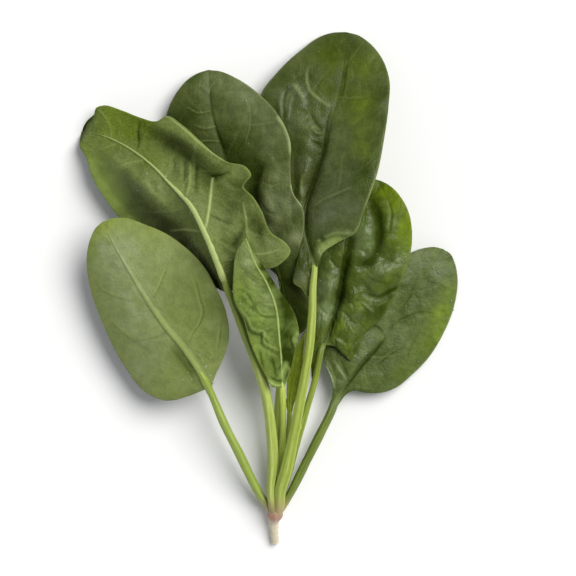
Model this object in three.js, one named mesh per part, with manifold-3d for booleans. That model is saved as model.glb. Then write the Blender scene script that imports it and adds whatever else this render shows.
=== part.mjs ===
// Bunch of spinach lying on a table: eight leaves on stalks, the crown and a stub of taproot
// Lengths are in millimetres, x to the right, y from the root to the leaf tips, z up
// Guide points are measured from the top of the crown in x and y, and from the table in z
import * as THREE from 'three';
import Module from 'manifold-3d';

const bladeThickness = 0.8;
const gap = 0.3;
const stalkSides = 10;
const tablePlane = 0;

const colours = {
  leaf_green: { color: 0x53652c, roughness: 0.5 },
  leaf_pale: { color: 0x74853f, roughness: 0.6 },
  stalk_green: { color: 0xa8ba62, roughness: 0.45 },
  crown_pink: { color: 0x9d816d, roughness: 0.6 },
  root_cream: { color: 0xd2c9b4, roughness: 0.75 },
};

// Crown and taproot, each a row of rings: centre x, y, z and radius
const crownRings = [
  [0.5, 3.2, 6, 4.5],
  [0.4, 1.6, 6, 4.6],
  [0.2, 0, 5.8, 4.1],
  [0, -1.5, 5.5, 3],
  [0, -2.7, 5.2, 2.4],
];
const rootRings = [
  [0, -3, 5, 2.2],
  [0, -6, 4.2, 2.1],
  [0.2, -10, 3, 2],
  [0.5, -14, 1.9, 1.95],
];

// Each leaf: three guide lines from the base to the tip, how far each half swells up,
// dents as x, y, radius and depth, and the stalk from the crown to the base of the blade
const leaves = [
  {
    name: 'tall_leaf',
    material: 'leaf_green',
    rows: 24,
    midrib: [[20, 121, 29], [17, 128.5, 26.5], [15, 137.5, 24], [15.5, 149.5, 22],
      [19.5, 162, 21.5], [24, 176, 21], [27.5, 191, 19], [31, 204, 16], [34, 219, 10], [35, 235, -0.5]],
    leftEdge: [[19, 119.5, 29], [16, 106, 29], [13.5, 110, 29], [9.5, 113, 28.5], [10.5, 119.5, 26.5],
      [10.5, 124, 24.5], [8, 134, 20], [3, 153.5, 14], [-3, 173.5, 11], [-7, 192, 10], [-6.5, 204.5, 9.5],
      [1.5, 215.5, 9], [12.5, 226, 7.5], [23.5, 233.5, 4], [35, 235, -0.5]],
    rightEdge: [[21, 121, 30], [24, 128, 30], [29, 131.5, 30.5], [34.5, 134.5, 32], [38.5, 136.5, 33],
      [43.5, 148, 34], [49.5, 164.5, 33], [53.5, 184, 28.5], [55.5, 198.5, 23.5], [56, 212, 17.5],
      [52.5, 222.5, 12], [44.5, 232, 5.5], [35, 235, -0.5]],
    swell: [1.5, 2.5],
    dents: [],
    stalk: [[2.5, 3.5, 9], [3, 11.5, 11.5], [5.5, 20.5, 15], [8.5, 34, 19], [11, 46.5, 22.5],
      [14.5, 66, 26], [17, 80.5, 28.5], [18.5, 97.5, 30], [19.5, 112, 30], [20, 121, 29]],
    stalkRadii: [1.7, 2.4, 2.8, 2.8, 2.6, 2.3, 2.2, 2.1, 2, 1.8],
  },
  {
    name: 'upper_left_leaf',
    material: 'leaf_pale',
    rows: 36,
    midrib: [[-22.5, 110, 33], [-26.5, 121.5, 36], [-33.5, 138, 37.5], [-40.5, 151, 36], [-49.5, 160, 33],
      [-60, 170.5, 28], [-70, 178, 21], [-80.5, 183.5, 14], [-88.5, 186, 7], [-92.5, 187.5, -0.5]],
    leftEdge: [[-24, 106.5, 30], [-28.5, 109, 20], [-36, 115, 12], [-45.5, 123, 8], [-60, 134, 8],
      [-72.5, 142, 11], [-81.5, 153, 12], [-88.5, 164.5, 11.5], [-92, 175, 10], [-94.5, 179, 8],
      [-94.5, 183, 3.5], [-92.5, 187.5, -0.5]],
    rightEdge: [[-21, 111, 32], [-19.5, 123, 34], [-12.5, 128, 35], [-7.5, 123, 34.5], [-2.5, 120, 33],
      [3.5, 122.5, 34], [8, 129, 35], [6.5, 131.5, 35], [-1.5, 137.5, 35], [-6, 148, 35],
      [-10, 154.5, 35], [-14.5, 159.5, 35], [-11, 165.5, 36], [-13, 168.5, 35.5], [-22.5, 171.5, 34],
      [-29.5, 176, 32], [-34.5, 180.5, 30], [-44.5, 189.5, 24], [-52, 194, 18.5], [-57, 191.5, 15.5],
      [-65, 193.5, 13], [-74, 197, 11.5], [-83, 199.5, 10.5], [-86.5, 198.5, 8.5], [-87.5, 195, 4],
      [-92.5, 187.5, -0.5]],
    swell: [1, -1],
    dents: [[-51.5, 183, 9, 7], [-38, 174, 9, 7], [-73, 159.5, 7, 2.5], [-64, 149, 7.5, 4.5],
      [-54, 139, 7.5, 4.5]],
    stalk: [[-1, 3.5, 9.5], [-1.5, 12.5, 11], [-0.5, 24.5, 13.5], [-1.5, 42.5, 18], [-5, 63.5, 23],
      [-9.5, 77, 27], [-15, 91, 30.5], [-19.5, 103, 32.5], [-22.5, 110, 33]],
    stalkRadii: [1.6, 2.2, 2.6, 2.7, 2.5, 2.4, 2.3, 2.1, 2],
  },
  {
    name: 'lower_left_leaf',
    material: 'leaf_pale',
    rows: 22,
    midrib: [[-32, 62.5, 19], [-36.5, 71, 22], [-44, 82, 24.5], [-52.5, 92, 26], [-61.5, 105, 27],
      [-69, 117, 27], [-76, 129, 26], [-83, 142.5, 23]],
    leftEdge: [[-33.5, 61.5, 18], [-40.5, 58.5, 17], [-53, 56, 15], [-62.5, 60, 14], [-73, 73, 13],
      [-83, 92.5, 14], [-89, 109.5, 15], [-91, 123, 17], [-89, 135.5, 20], [-83, 142.5, 23]],
    rightEdge: [[-30, 63, 19], [-29, 67, 19.5], [-25, 75.5, 21], [-22, 85.5, 23], [-23.5, 100, 27],
      [-28, 110.5, 28.5], [-33.5, 120.5, 28], [-42, 129.5, 27], [-52.5, 137, 26], [-63, 141.5, 25],
      [-73.5, 144, 24], [-83, 142.5, 23]],
    swell: [2.5, 1],
    dents: [],
    stalk: [[-2.5, 3.5, 6.5], [-6.5, 9, 7.5], [-11, 17.5, 10], [-16.5, 29, 13], [-24, 44, 16],
      [-32, 62.5, 19]],
    stalkRadii: [1.7, 2, 2.2, 2.2, 2.1, 1.9],
  },
  {
    name: 'lower_right_leaf',
    material: 'leaf_green',
    rows: 22,
    midrib: [[28.5, 52, 8.5], [36, 64, 9.5], [42, 72.5, 9.5], [48.5, 81, 9], [56.5, 92, 8.5],
      [66.5, 105, 7.5], [75.5, 118.5, 5.5], [82.5, 129.5, 3.5]],
    leftEdge: [[27, 52, 8.5], [28.5, 61, 10], [27, 67.5, 11.5], [24.5, 75, 12], [25.5, 85.5, 11.5],
      [32.5, 98, 10.5], [43, 110, 10], [55.5, 121, 9.5], [66.5, 128, 8], [75.5, 130, 5.5],
      [82.5, 129.5, 3.5]],
    rightEdge: [[31.5, 52.5, 8.5], [33, 55, 8.5], [35.5, 59, 8], [38.5, 60.5, 8], [45, 59.5, 7],
      [52, 59.5, 5.5], [59.5, 62, 3.5], [67, 68, 1], [74.5, 75.5, -1.5], [82.5, 88, -3],
      [88, 102, -3], [89.5, 116.5, -1], [87.5, 125, 1.5], [82.5, 129.5, 3.5]],
    swell: [2, 0.5],
    dents: [],
    stalk: [[4, 3.5, 6], [8.5, 11.5, 6], [16.5, 27.5, 6.5], [23, 40.5, 7.5], [28.5, 52, 8.5]],
    stalkRadii: [1.6, 1.9, 2.1, 2.1, 2],
  },
  {
    name: 'crinkled_leaf',
    material: 'leaf_green',
    rows: 26,
    midrib: [[24.5, 83, 17], [27.5, 92.5, 17.5], [30.5, 103.5, 18], [32.5, 114.5, 19.5],
      [34.5, 126.5, 20], [36.5, 138.5, 20], [40, 151.5, 19], [44.5, 163.5, 17]],
    leftEdge: [[23.5, 83, 17], [21.5, 77.5, 16], [19.5, 74.5, 15.5], [18, 83, 15.5], [17.5, 95, 16],
      [17.5, 107, 16.5], [18.5, 121.5, 17], [21, 135.5, 17], [25.5, 149.5, 17], [34, 160, 16],
      [44.5, 163.5, 17]],
    rightEdge: [[26, 83, 17], [30, 82, 15.5], [33.5, 78.5, 15], [37.5, 75.5, 14], [40.5, 80, 14],
      [44, 88, 14], [52, 95.5, 14], [57, 103.5, 14.5], [64, 119.5, 16], [67, 133.5, 17],
      [64.5, 149.5, 18], [56.5, 160, 18.5], [50.5, 163, 18], [44.5, 163.5, 17]],
    swell: [2, 2],
    dents: [[31.5, 105, 4, 2], [45, 112, 5, 1.5], [53, 126, 5, 1.5], [40, 96, 4, 1.2]],
    stalk: [[2, 3.5, 3], [6.5, 17.5, 5], [11, 34.5, 9], [15.5, 50.5, 12.5], [20, 66, 15],
      [24.5, 83, 17]],
    stalkRadii: [1.4, 1.6, 1.7, 1.65, 1.6, 1.5],
  },
  {
    name: 'top_left_leaf',
    material: 'leaf_green',
    rows: 26,
    midrib: [[8, 88.5, 14], [6.5, 100, 18], [4.5, 110.5, 21.5], [1, 123, 24], [-5.5, 135, 23.5],
      [-14, 151.5, 21.5], [-22.5, 169.5, 18.5], [-27, 184, 15.5], [-30.5, 200.5, 11],
      [-32.5, 216.5, 6.5]],
    leftEdge: [[7.5, 87.5, 14], [4.5, 99, 17], [3, 109, 19], [2.5, 115.5, 20], [-3, 120.5, 17],
      [-16.5, 128, 11], [-30, 142.5, 8], [-41.5, 159, 6.5], [-51.5, 177.5, 6], [-53, 192, 6.5],
      [-48, 205, 7.5], [-41, 213, 7], [-32.5, 216.5, 6.5]],
    rightEdge: [[9, 88, 14], [13, 91, 16.5], [16, 99, 18], [16.5, 105.5, 19], [13.5, 112, 20.5],
      [10, 118, 23], [9.5, 122, 25.5], [12.5, 130.5, 29], [14.5, 139.5, 30], [14, 149, 30],
      [9.5, 156, 29.5], [8, 169, 28], [8, 181, 27], [3, 193, 23], [-7, 204.5, 16.5],
      [-18, 212.5, 10.5], [-27, 217, 7.5], [-32.5, 216.5, 6.5]],
    swell: [3, 1.5],
    dents: [],
    stalk: [[-1, 3.5, 3], [0, 17.5, 4], [1, 34.5, 5.5], [2, 51.5, 7.5], [3.5, 68.5, 10],
      [6, 80.5, 12], [8, 88.5, 14]],
    stalkRadii: [1.4, 1.7, 1.9, 1.9, 1.8, 1.7, 1.5],
  },
  {
    name: 'folded_leaf',
    material: 'leaf_pale',
    rows: 18,
    midrib: [[4, 62.5, 22], [3.5, 74.5, 26.5], [2.5, 86.5, 32], [0.5, 103, 37.5], [-4, 114, 41],
      [-9, 122.5, 43], [-13.5, 134.5, 42]],
    leftEdge: [[3, 62.5, 22.5], [-1, 63, 27], [-4, 68, 30], [-8, 76, 33], [-11.5, 84.5, 35],
      [-15, 96, 37.5], [-19, 104, 39.5], [-19.5, 117, 41], [-17.5, 129, 42], [-13.5, 134.5, 42]],
    rightEdge: [[5, 62.5, 22], [7.5, 69.5, 21], [9.5, 78.5, 23], [12, 89.5, 26], [9, 100, 29],
      [4.5, 106.5, 32], [-0.5, 114, 35], [-5, 121, 38], [-10, 127.5, 41], [-13.5, 134.5, 42]],
    swell: [0.5, 1.5],
    dents: [],
    stalk: [[0, 3.5, 6.5], [2.5, 15, 9], [4, 32, 12.5], [4.5, 49, 17.5], [4, 62.5, 22]],
    stalkRadii: [1.1, 1.3, 1.4, 1.4, 1.3],
  },
  {
    name: 'young_leaf',
    material: 'leaf_pale',
    rows: 9,
    midrib: [[7.5, 47.5, 11.5], [8, 58.5, 14], [10, 70, 16], [12.5, 80.5, 18.5], [15, 89, 20]],
    leftEdge: [[6.5, 47.5, 11.5], [6.5, 58.5, 14.5], [8, 70, 17], [11.5, 81.5, 19.5], [15, 89, 20]],
    rightEdge: [[8, 47.5, 11.5], [11, 58.5, 14.5], [13.5, 70, 17], [14.5, 80.5, 19.5], [15, 89, 20]],
    swell: [-0.6, -0.6],
    dents: [],
    stalk: [[2, 3.5, 6], [4, 15, 7.5], [6, 32, 9.5], [7.5, 47.5, 11.5]],
    stalkRadii: [0.9, 1.1, 1.25, 1.2],
  },
];

// Where the columns of a blade lie, from its left edge through the midrib to its right edge
const columns = [-1, -0.82, -0.62, -0.42, -0.22, -0.07, 0, 0.07, 0.22, 0.42, 0.62, 0.82, 1];

// Smooth line through the guide points, its speed set by the distance between them
function lineThrough(points) {
  const knots = [0];
  for (let i = 1; i < points.length; i += 1) {
    const step = Math.hypot(...points[i].map((v, k) => v - points[i - 1][k]));
    knots.push(knots[i - 1] + step);
  }
  const total = knots[knots.length - 1];
  const at = knots.map((k) => k / total);
  const slope = points.map((p, i) => p.map((v, k) => {
    const before = i > 0 ? (v - points[i - 1][k]) / (at[i] - at[i - 1]) : null;
    const after = i < points.length - 1 ? (points[i + 1][k] - v) / (at[i + 1] - at[i]) : null;
    if (before === null) return after;
    if (after === null) return before;
    const left = at[i] - at[i - 1];
    const right = at[i + 1] - at[i];
    return (before * right + after * left) / (left + right);
  }));
  return (u) => {
    let i = 0;
    while (i < at.length - 2 && u > at[i + 1]) i += 1;
    const h = at[i + 1] - at[i];
    const x = Math.min(1, Math.max(0, (u - at[i]) / h));
    const a = 2 * x ** 3 - 3 * x ** 2 + 1;
    const b = (x ** 3 - 2 * x ** 2 + x) * h;
    const c = 3 * x ** 2 - 2 * x ** 3;
    const d = (x ** 3 - x ** 2) * h;
    return points[i].map((v, k) => a * v + b * slope[i][k] + c * points[i + 1][k] + d * slope[i + 1][k]);
  };
}

// Middle surface of a blade at u from base to tip and s from the left edge to the right
function bladeSurface(leaf) {
  const mid = lineThrough(leaf.midrib);
  const left = lineThrough(leaf.leftEdge);
  const right = lineThrough(leaf.rightEdge);
  return (u, s) => {
    const away = Math.abs(s);
    const edge = s < 0 ? left(u) : right(u);
    const centre = mid(u);
    const [x, y] = [0, 1].map((k) => centre[k] * (1 - away) + edge[k] * away);
    let z = centre[2] * (1 - away) + edge[2] * away;
    const swell = s < 0 ? leaf.swell[0] : leaf.swell[1];
    z += 4 * away * (1 - away) * swell * Math.sin(Math.PI * u) ** 0.7;
    for (const [dx, dy, radius, depth] of leaf.dents) {
      z -= depth * Math.exp(-((x - dx) ** 2 + (y - dy) ** 2) / radius ** 2);
    }
    return new THREE.Vector3(x, y, z);
  };
}

function asManifold(wasm, points, triangles) {
  const mesh = new wasm.Mesh({
    numProp: 3,
    vertProperties: new Float32Array(points.flatMap((p) => [p.x, p.y, p.z])),
    triVerts: new Uint32Array(triangles.flat()),
  });
  return new wasm.Manifold(mesh);
}

// Sheet of even thickness, split into the same triangles on both faces, closed round its edge
function bladeSolid(wasm, leaf) {
  const surface = bladeSurface(leaf);
  const rows = leaf.rows;
  const wide = columns.length;
  const step = 1e-3;
  const top = [];
  const bottom = [];
  const add = (u, s) => {
    const p = surface(u, s);
    const uLow = Math.max(0, u - step);
    const uHigh = Math.min(1 - step, u + step);
    const sLow = Math.max(-1, s - step);
    const sHigh = Math.min(1, s + step);
    const inside = Math.min(u, 1 - 2 * step);
    const along = surface(uHigh, s).sub(surface(Math.min(uLow, uHigh - step), s));
    const across = surface(inside, sHigh).sub(surface(inside, sLow));
    const normal = across.cross(along).normalize();
    const high = p.clone().addScaledVector(normal, bladeThickness / 2);
    const low = p.clone().addScaledVector(normal, -bladeThickness / 2);
    low.z = Math.max(low.z, tablePlane);
    high.z = Math.max(high.z, tablePlane + bladeThickness);
    top.push(high);
    bottom.push(low);
  };
  for (let i = 0; i < rows; i += 1) {
    for (const s of columns) add(i / rows, s);
  }
  add(1, 0);
  const tip = rows * wide;
  const half = tip + 1;
  const triangles = [];
  const face = (a, b, c) => {
    triangles.push([a, b, c], [half + a, half + c, half + b]);
  };
  const wall = (a, b) => {
    triangles.push([a, half + b, b], [a, half + a, half + b]);
  };
  for (let i = 0; i < rows - 1; i += 1) {
    for (let j = 0; j < wide - 1; j += 1) {
      const a = i * wide + j;
      if (j < (wide - 1) / 2) {
        face(a, a + 1, a + wide + 1);
        face(a, a + wide + 1, a + wide);
      } else {
        face(a, a + 1, a + wide);
        face(a + 1, a + wide + 1, a + wide);
      }
    }
    wall(i * wide + wide - 1, (i + 1) * wide + wide - 1);
    wall((i + 1) * wide, i * wide);
  }
  for (let j = 0; j < wide - 1; j += 1) {
    face((rows - 1) * wide + j, (rows - 1) * wide + j + 1, tip);
    wall(j, j + 1);
  }
  wall(rows * wide - 1, tip);
  wall(tip, (rows - 1) * wide);
  return asManifold(wasm, [...top, ...bottom], triangles);
}

// Round bar through rings of centre and radius; grow makes it fatter and longer all over
function barSolid(wasm, path, radii, rings, sides, grow) {
  const line = lineThrough(path);
  const size = lineThrough(path.map((p, i) => [...p, radii[i]]));
  const points = [];
  const triangles = [];
  const ends = [];
  for (let i = 0; i <= rings; i += 1) {
    const u = i / rings;
    const ahead = new THREE.Vector3(...line(Math.min(1, u + 0.004)));
    const behind = new THREE.Vector3(...line(Math.max(0, u - 0.004)));
    const along = ahead.sub(behind).normalize();
    const centre = new THREE.Vector3(...line(u));
    if (i === 0) centre.addScaledVector(along, -grow);
    if (i === rings) centre.addScaledVector(along, grow);
    const across = new THREE.Vector3(along.y, -along.x, 0).normalize();
    const up = across.clone().cross(along);
    const radius = size(u)[3] + grow;
    for (let k = 0; k < sides; k += 1) {
      const angle = (2 * Math.PI * (k + 0.5)) / sides;
      const p = centre.clone();
      p.addScaledVector(across, radius * Math.cos(angle));
      p.addScaledVector(up, radius * Math.sin(angle));
      p.z = Math.max(p.z, tablePlane - grow);
      points.push(p);
    }
    if (i === 0 || i === rings) ends.push(centre);
  }
  const last = rings * sides;
  points.push(...ends);
  for (let k = 0; k < sides; k += 1) {
    const next = (k + 1) % sides;
    for (let i = 0; i < rings; i += 1) {
      const a = i * sides;
      triangles.push([a + k, a + sides + k, a + next], [a + next, a + sides + k, a + sides + next]);
    }
    triangles.push([k, next, last + sides]);
    triangles.push([last + next, last + k, last + sides + 1]);
  }
  const solid = asManifold(wasm, points, triangles);
  return solid.volume() < 0 ? asManifold(wasm, points, triangles.map(([a, b, c]) => [a, c, b])) : solid;
}

function largestPiece(solid) {
  const pieces = solid.decompose();
  pieces.sort((a, b) => b.volume() - a.volume());
  return pieces[0];
}

function meshOf(name, solid, materialName, shift) {
  const data = solid.getMesh();
  const geometry = new THREE.BufferGeometry();
  const positions = new Float32Array(data.numVert * 3);
  for (let i = 0; i < data.numVert; i += 1) {
    for (let k = 0; k < 3; k += 1) {
      positions[i * 3 + k] = data.vertProperties[i * data.numProp + k] + shift[k];
    }
  }
  geometry.setAttribute('position', new THREE.BufferAttribute(positions, 3));
  geometry.setIndex([...data.triVerts]);
  geometry.computeVertexNormals();
  const { color, roughness } = colours[materialName];
  const material = new THREE.MeshStandardMaterial({ color, roughness, metalness: 0 });
  material.name = materialName;
  const mesh = new THREE.Mesh(geometry, material);
  mesh.name = name;
  return mesh;
}

const wasm = await Module();
wasm.setup();

// The crown and root come first, then the stalks, each cut back to leave room for those before it
const solids = [];
const ringPath = (rings) => rings.map(([x, y, z]) => [x, y, z]);
const ringRadii = (rings) => rings.map((ring) => ring[3]);
const fatShapes = [];
for (const [name, rings, material] of [
  ['crown', crownRings, 'crown_pink'],
  ['taproot', rootRings, 'root_cream'],
]) {
  const count = (rings.length - 1) * 3;
  solids.push([name, barSolid(wasm, ringPath(rings), ringRadii(rings), count, 20, 0), material]);
  fatShapes.push(barSolid(wasm, ringPath(rings), ringRadii(rings), count, 20, gap));
}
for (const leaf of leaves) {
  const rings = Math.max(10, leaf.stalk.length * 2);
  let stalk = barSolid(wasm, leaf.stalk, leaf.stalkRadii, rings, stalkSides, 0);
  for (const fat of fatShapes) stalk = stalk.subtract(fat);
  solids.push([`${leaf.name}_stalk`, largestPiece(stalk), 'stalk_green']);
  fatShapes.push(barSolid(wasm, leaf.stalk, leaf.stalkRadii, rings, stalkSides, gap));
}
for (const leaf of leaves) {
  let blade = bladeSolid(wasm, leaf);
  for (const fat of fatShapes) blade = blade.subtract(fat);
  solids.push([`${leaf.name}_blade`, largestPiece(blade), leaf.material]);
}

// The whole is moved so that the middle of its underside is the origin
const low = [Infinity, Infinity, Infinity];
const high = [-Infinity, -Infinity, -Infinity];
for (const [, solid] of solids) {
  const box = solid.boundingBox();
  for (let k = 0; k < 3; k += 1) {
    low[k] = Math.min(low[k], box.min[k]);
    high[k] = Math.max(high[k], box.max[k]);
  }
}
const shift = [-(low[0] + high[0]) / 2, -(low[1] + high[1]) / 2, -low[2]];

const bunch = new THREE.Group();
bunch.name = 'spinach_bunch';
for (const [name, solid, material] of solids) bunch.add(meshOf(name, solid, material, shift));

export default bunch;
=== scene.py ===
# Bunch of spinach lying on a pale table, seen from straight above
# Guide points are in millimetres: x and y from the top of the crown, z from the table
import bpy
import math
import numpy as np
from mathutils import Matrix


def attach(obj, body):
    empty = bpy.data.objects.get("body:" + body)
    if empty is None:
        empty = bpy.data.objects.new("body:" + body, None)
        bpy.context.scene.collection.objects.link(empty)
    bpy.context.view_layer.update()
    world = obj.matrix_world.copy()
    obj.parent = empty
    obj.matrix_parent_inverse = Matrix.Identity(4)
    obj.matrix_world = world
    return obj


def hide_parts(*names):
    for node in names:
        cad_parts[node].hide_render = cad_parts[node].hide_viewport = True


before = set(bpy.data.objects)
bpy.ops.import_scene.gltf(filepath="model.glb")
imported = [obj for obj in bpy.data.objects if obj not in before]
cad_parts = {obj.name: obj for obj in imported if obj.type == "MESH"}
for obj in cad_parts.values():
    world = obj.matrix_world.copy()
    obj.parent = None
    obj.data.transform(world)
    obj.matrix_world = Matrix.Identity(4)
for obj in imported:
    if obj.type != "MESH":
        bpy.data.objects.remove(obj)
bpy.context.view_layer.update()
print("frame loaded with", len(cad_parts), "nodes")

bunch = dict(
    shiftX=2.64,        # from the crown's top to the middle of the whole bunch, mm
    shiftY=-110.34,
    bladeThickness=0.5,
    thinnest=0.2,       # a blade is nowhere thinner than this
    tableGap=0.02,      # no point lies lower than this
    rows=190,           # rows of quads along a large blade
    columns=96,
    stalkRings=150,
    stalkSides=32,
)


def smoothStep(x, low, high):
    t = np.clip((x - low) / (high - low), 0, 1)
    return t * t * (3 - 2 * t)


def unit(v):
    return v / np.linalg.norm(v, axis=-1, keepdims=True)


def travelled(points):
    # length of a line up to each of its points
    return np.concatenate([[0], np.cumsum(np.linalg.norm(np.diff(points, axis=0), axis=1))])


def lineThrough(points, u):
    # smooth line through the points, sampled at u from 0 to 1 by length
    p = np.array(points, float)
    at = travelled(p[:, :3])
    at /= at[-1]
    h = np.diff(at)[:, None]
    run = np.diff(p, axis=0) / h
    slope = np.concatenate([run[:1], (run[:-1] * h[1:] + run[1:] * h[:-1]) / (h[:-1] + h[1:]), run[-1:]])
    k = np.clip(np.searchsorted(at, u, side="right") - 1, 0, len(at) - 2)
    x = np.clip((u - at[k])[:, None] / h[k], 0, 1)
    return ((2 * x**3 - 3 * x**2 + 1) * p[k] + (x**3 - 2 * x**2 + x) * h[k] * slope[k]
            + (3 * x**2 - 2 * x**3) * p[k + 1] + (x**3 - x**2) * h[k] * slope[k + 1])


def cellPattern(x, y, size, seed, batch=4000):
    # distance from the nearest and to the second nearest of a jittered set of spots
    rng = np.random.default_rng(seed)
    xs = np.arange(x.min() - size, x.max() + size, size)
    ys = np.arange(y.min() - size, y.max() + size, size)
    spots = np.stack(np.meshgrid(xs, ys), -1).reshape(-1, 2)
    spots = spots + rng.uniform(-0.42, 0.42, spots.shape) * size
    flat = np.stack([x.ravel(), y.ravel()], 1)
    nearest = []
    for start in range(0, len(flat), batch):
        d = np.sqrt(((flat[start:start + batch, None] - spots[None]) ** 2).sum(-1))
        d.partition(1, axis=1)
        nearest.append(d[:, :2].copy())
    return np.concatenate(nearest).T.reshape(2, *x.shape)


def softNoise(x, y, size, seed):
    # slow waves of about the given size, from -1 to 1
    rng = np.random.default_rng(seed)
    total = np.zeros_like(x)
    for _ in range(7):
        turn = rng.uniform(0, math.tau)
        wave = size * rng.uniform(0.7, 1.6)
        along = x * math.cos(turn) + y * math.sin(turn)
        total += np.sin(along * math.tau / wave + rng.uniform(0, math.tau))
    return total / 4


def addObject(name, data):
    thing = bpy.data.objects.new(name, data)
    bpy.context.scene.collection.objects.link(thing)
    return thing


def makePiece(name, points, faces, marks, materials, faceMaterial=None):
    mesh = bpy.data.meshes.new(name)
    placed = (points + [bunch["shiftX"], bunch["shiftY"], 0]) / 1000
    mesh.from_pydata(placed.tolist(), [], faces)
    for key, values in marks.items():
        values = np.asarray(values, np.float32)
        kind, field = ("FLOAT_VECTOR", "vector") if values.ndim == 2 else ("FLOAT", "value")
        mesh.attributes.new(key, kind, "POINT").data.foreach_set(field, values.ravel())
    for material in materials:
        mesh.materials.append(material)
    if faceMaterial is not None:
        mesh.polygons.foreach_set("material_index", np.asarray(faceMaterial, np.int32))
    mesh.polygons.foreach_set("use_smooth", np.ones(len(mesh.polygons), bool))
    mesh.update()
    piece = addObject(name, mesh)
    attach(piece, "root")
    return piece


# Materials

def setInput(tree, socket, value):
    if isinstance(value, bpy.types.NodeSocket):
        tree.links.new(value, socket)
    else:
        socket.default_value = (*value, 1) if socket.type == "RGBA" else value


def addNode(tree, kind, inputs=None, **settings):
    node = tree.nodes.new("ShaderNode" + kind)
    for key, value in settings.items():
        setattr(node, key, value)
    for key, value in (inputs or {}).items():
        setInput(tree, node.inputs[key], value)
    return node


def markOf(tree, key, output="Fac"):
    # what the mesh carries at each point under this name
    return addNode(tree, "Attribute", attribute_name=key).outputs[output]


def noiseOf(tree, scale, detail, roughness=0.5, stretch=None):
    place = markOf(tree, "place", "Vector")
    if stretch:
        place = addNode(tree, "Mapping", {"Vector": place, "Scale": stretch}).outputs[0]
    inputs = {"Vector": place, "Scale": scale, "Detail": detail, "Roughness": roughness}
    return addNode(tree, "TexNoise", inputs).outputs["Fac"]


def calculate(tree, operation, *values):
    return addNode(tree, "Math", dict(enumerate(values)), operation=operation).outputs[0]


def rangeTo(tree, value, fromLow, fromHigh, toLow, toHigh):
    return addNode(tree, "MapRange", {"Value": value, "From Min": fromLow, "From Max": fromHigh,
                                      "To Min": toLow, "To Max": toHigh}).outputs[0]


def paintLayers(tree, colour, look, layers):
    # each layer is how strongly, and which of the look's colours, is painted over the rest
    for amount, key in layers:
        colour = addNode(tree, "Mix", {0: amount, 6: colour, 7: look[key]}, data_type="RGBA").outputs[2]
    return colour


def startMaterial(name):
    material = bpy.data.materials.new(name)
    material.use_nodes = True
    return material, material.node_tree


def finishMaterial(material, sockets, bump=None):
    # bump is its height, strength and distance in metres
    tree = material.node_tree
    shader = tree.nodes["Principled BSDF"]
    for key, value in sockets.items():
        setInput(tree, shader.inputs[key], value)
    if bump:
        relief = addNode(tree, "Bump", dict(zip(("Height", "Strength", "Distance"), bump)))
        tree.links.new(relief.outputs[0], shader.inputs["Normal"])
    return material


def leafMaterial(name, look):
    material, tree = startMaterial(name)
    glow, paintedShade = markOf(tree, "glow"), markOf(tree, "paintedShade")
    patches = noiseOf(tree, scale=0.07, detail=4, roughness=0.55)
    grain = noiseOf(tree, scale=1.3, detail=3, roughness=0.6)
    mottle = noiseOf(tree, scale=0.24, detail=5, roughness=0.65)
    net = addNode(tree, "TexVoronoi",
                  {"Vector": markOf(tree, "place", "Vector"), "Scale": 0.62, "Randomness": 0.9},
                  feature="DISTANCE_TO_EDGE").outputs["Distance"]
    colour = paintLayers(tree, look["dark"], look, (
        (rangeTo(tree, patches, 0.35, 0.68, 0, 1), "light"),
        # painted light: brighter, yellower glow, partly the leaf's own yellower tone
        (glow, "glow"),
        # painted sheen: a pale bluish sheen and glints painted into the colour
        (markOf(tree, "paintedSheen"), "paintedSheen"),
        (calculate(tree, "MULTIPLY", rangeTo(tree, net, 0, 0.14, 1, 0), look["net"]), "vein"),
        (rangeTo(tree, grain, 0.3, 0.75, 0, look["grain"]), "vein"),
        (rangeTo(tree, mottle, 0.35, 0.62, look["mottle"], 0), "mottleAndShade"),
        # painted shade: darker towards the shade colour where shade spots, shade lines, folds and crinkles
        # lie
        (calculate(tree, "MULTIPLY", paintedShade, look["paintedShadeDepth"]), "mottleAndShade"),
        # painted highlight along the edges and on pale lines, with pale spots that are partly paler patches
        (markOf(tree, "rimHighlight"), "rimHighlight"),
        # veins, with a few drawn lines that are painted highlights along edges and curls
        (markOf(tree, "veins"), "vein"),
    ))
    sheen = rangeTo(tree, patches, 0.3, 0.7, *look["roughness"])
    # places with glow and places under painted shade shine less
    dull = calculate(tree, "MINIMUM", calculate(tree, "MULTIPLY_ADD", glow, 0.6, paintedShade), 1.0)
    shine = calculate(tree, "MULTIPLY_ADD", dull, -look["gloss"], look["gloss"])
    tree.nodes["Principled BSDF"].inputs["Specular IOR Level"].default_value = look["gloss"]
    height = calculate(tree, "MULTIPLY_ADD", rangeTo(tree, net, 0, 0.35, 0, 1), 0.5, grain)
    return finishMaterial(material, {
        "Base Color": colour, "Roughness": calculate(tree, "MULTIPLY_ADD", glow, 0.3, sheen),
        "Specular IOR Level": shine}, bump=(height, look["bump"], 0.0003))


# In each look the darkest colour serves random mottling and painted shade, the glow colour is painted light,
# the sheen colour a painted pale sheen, and the edge colour painted highlight along edges
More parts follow.
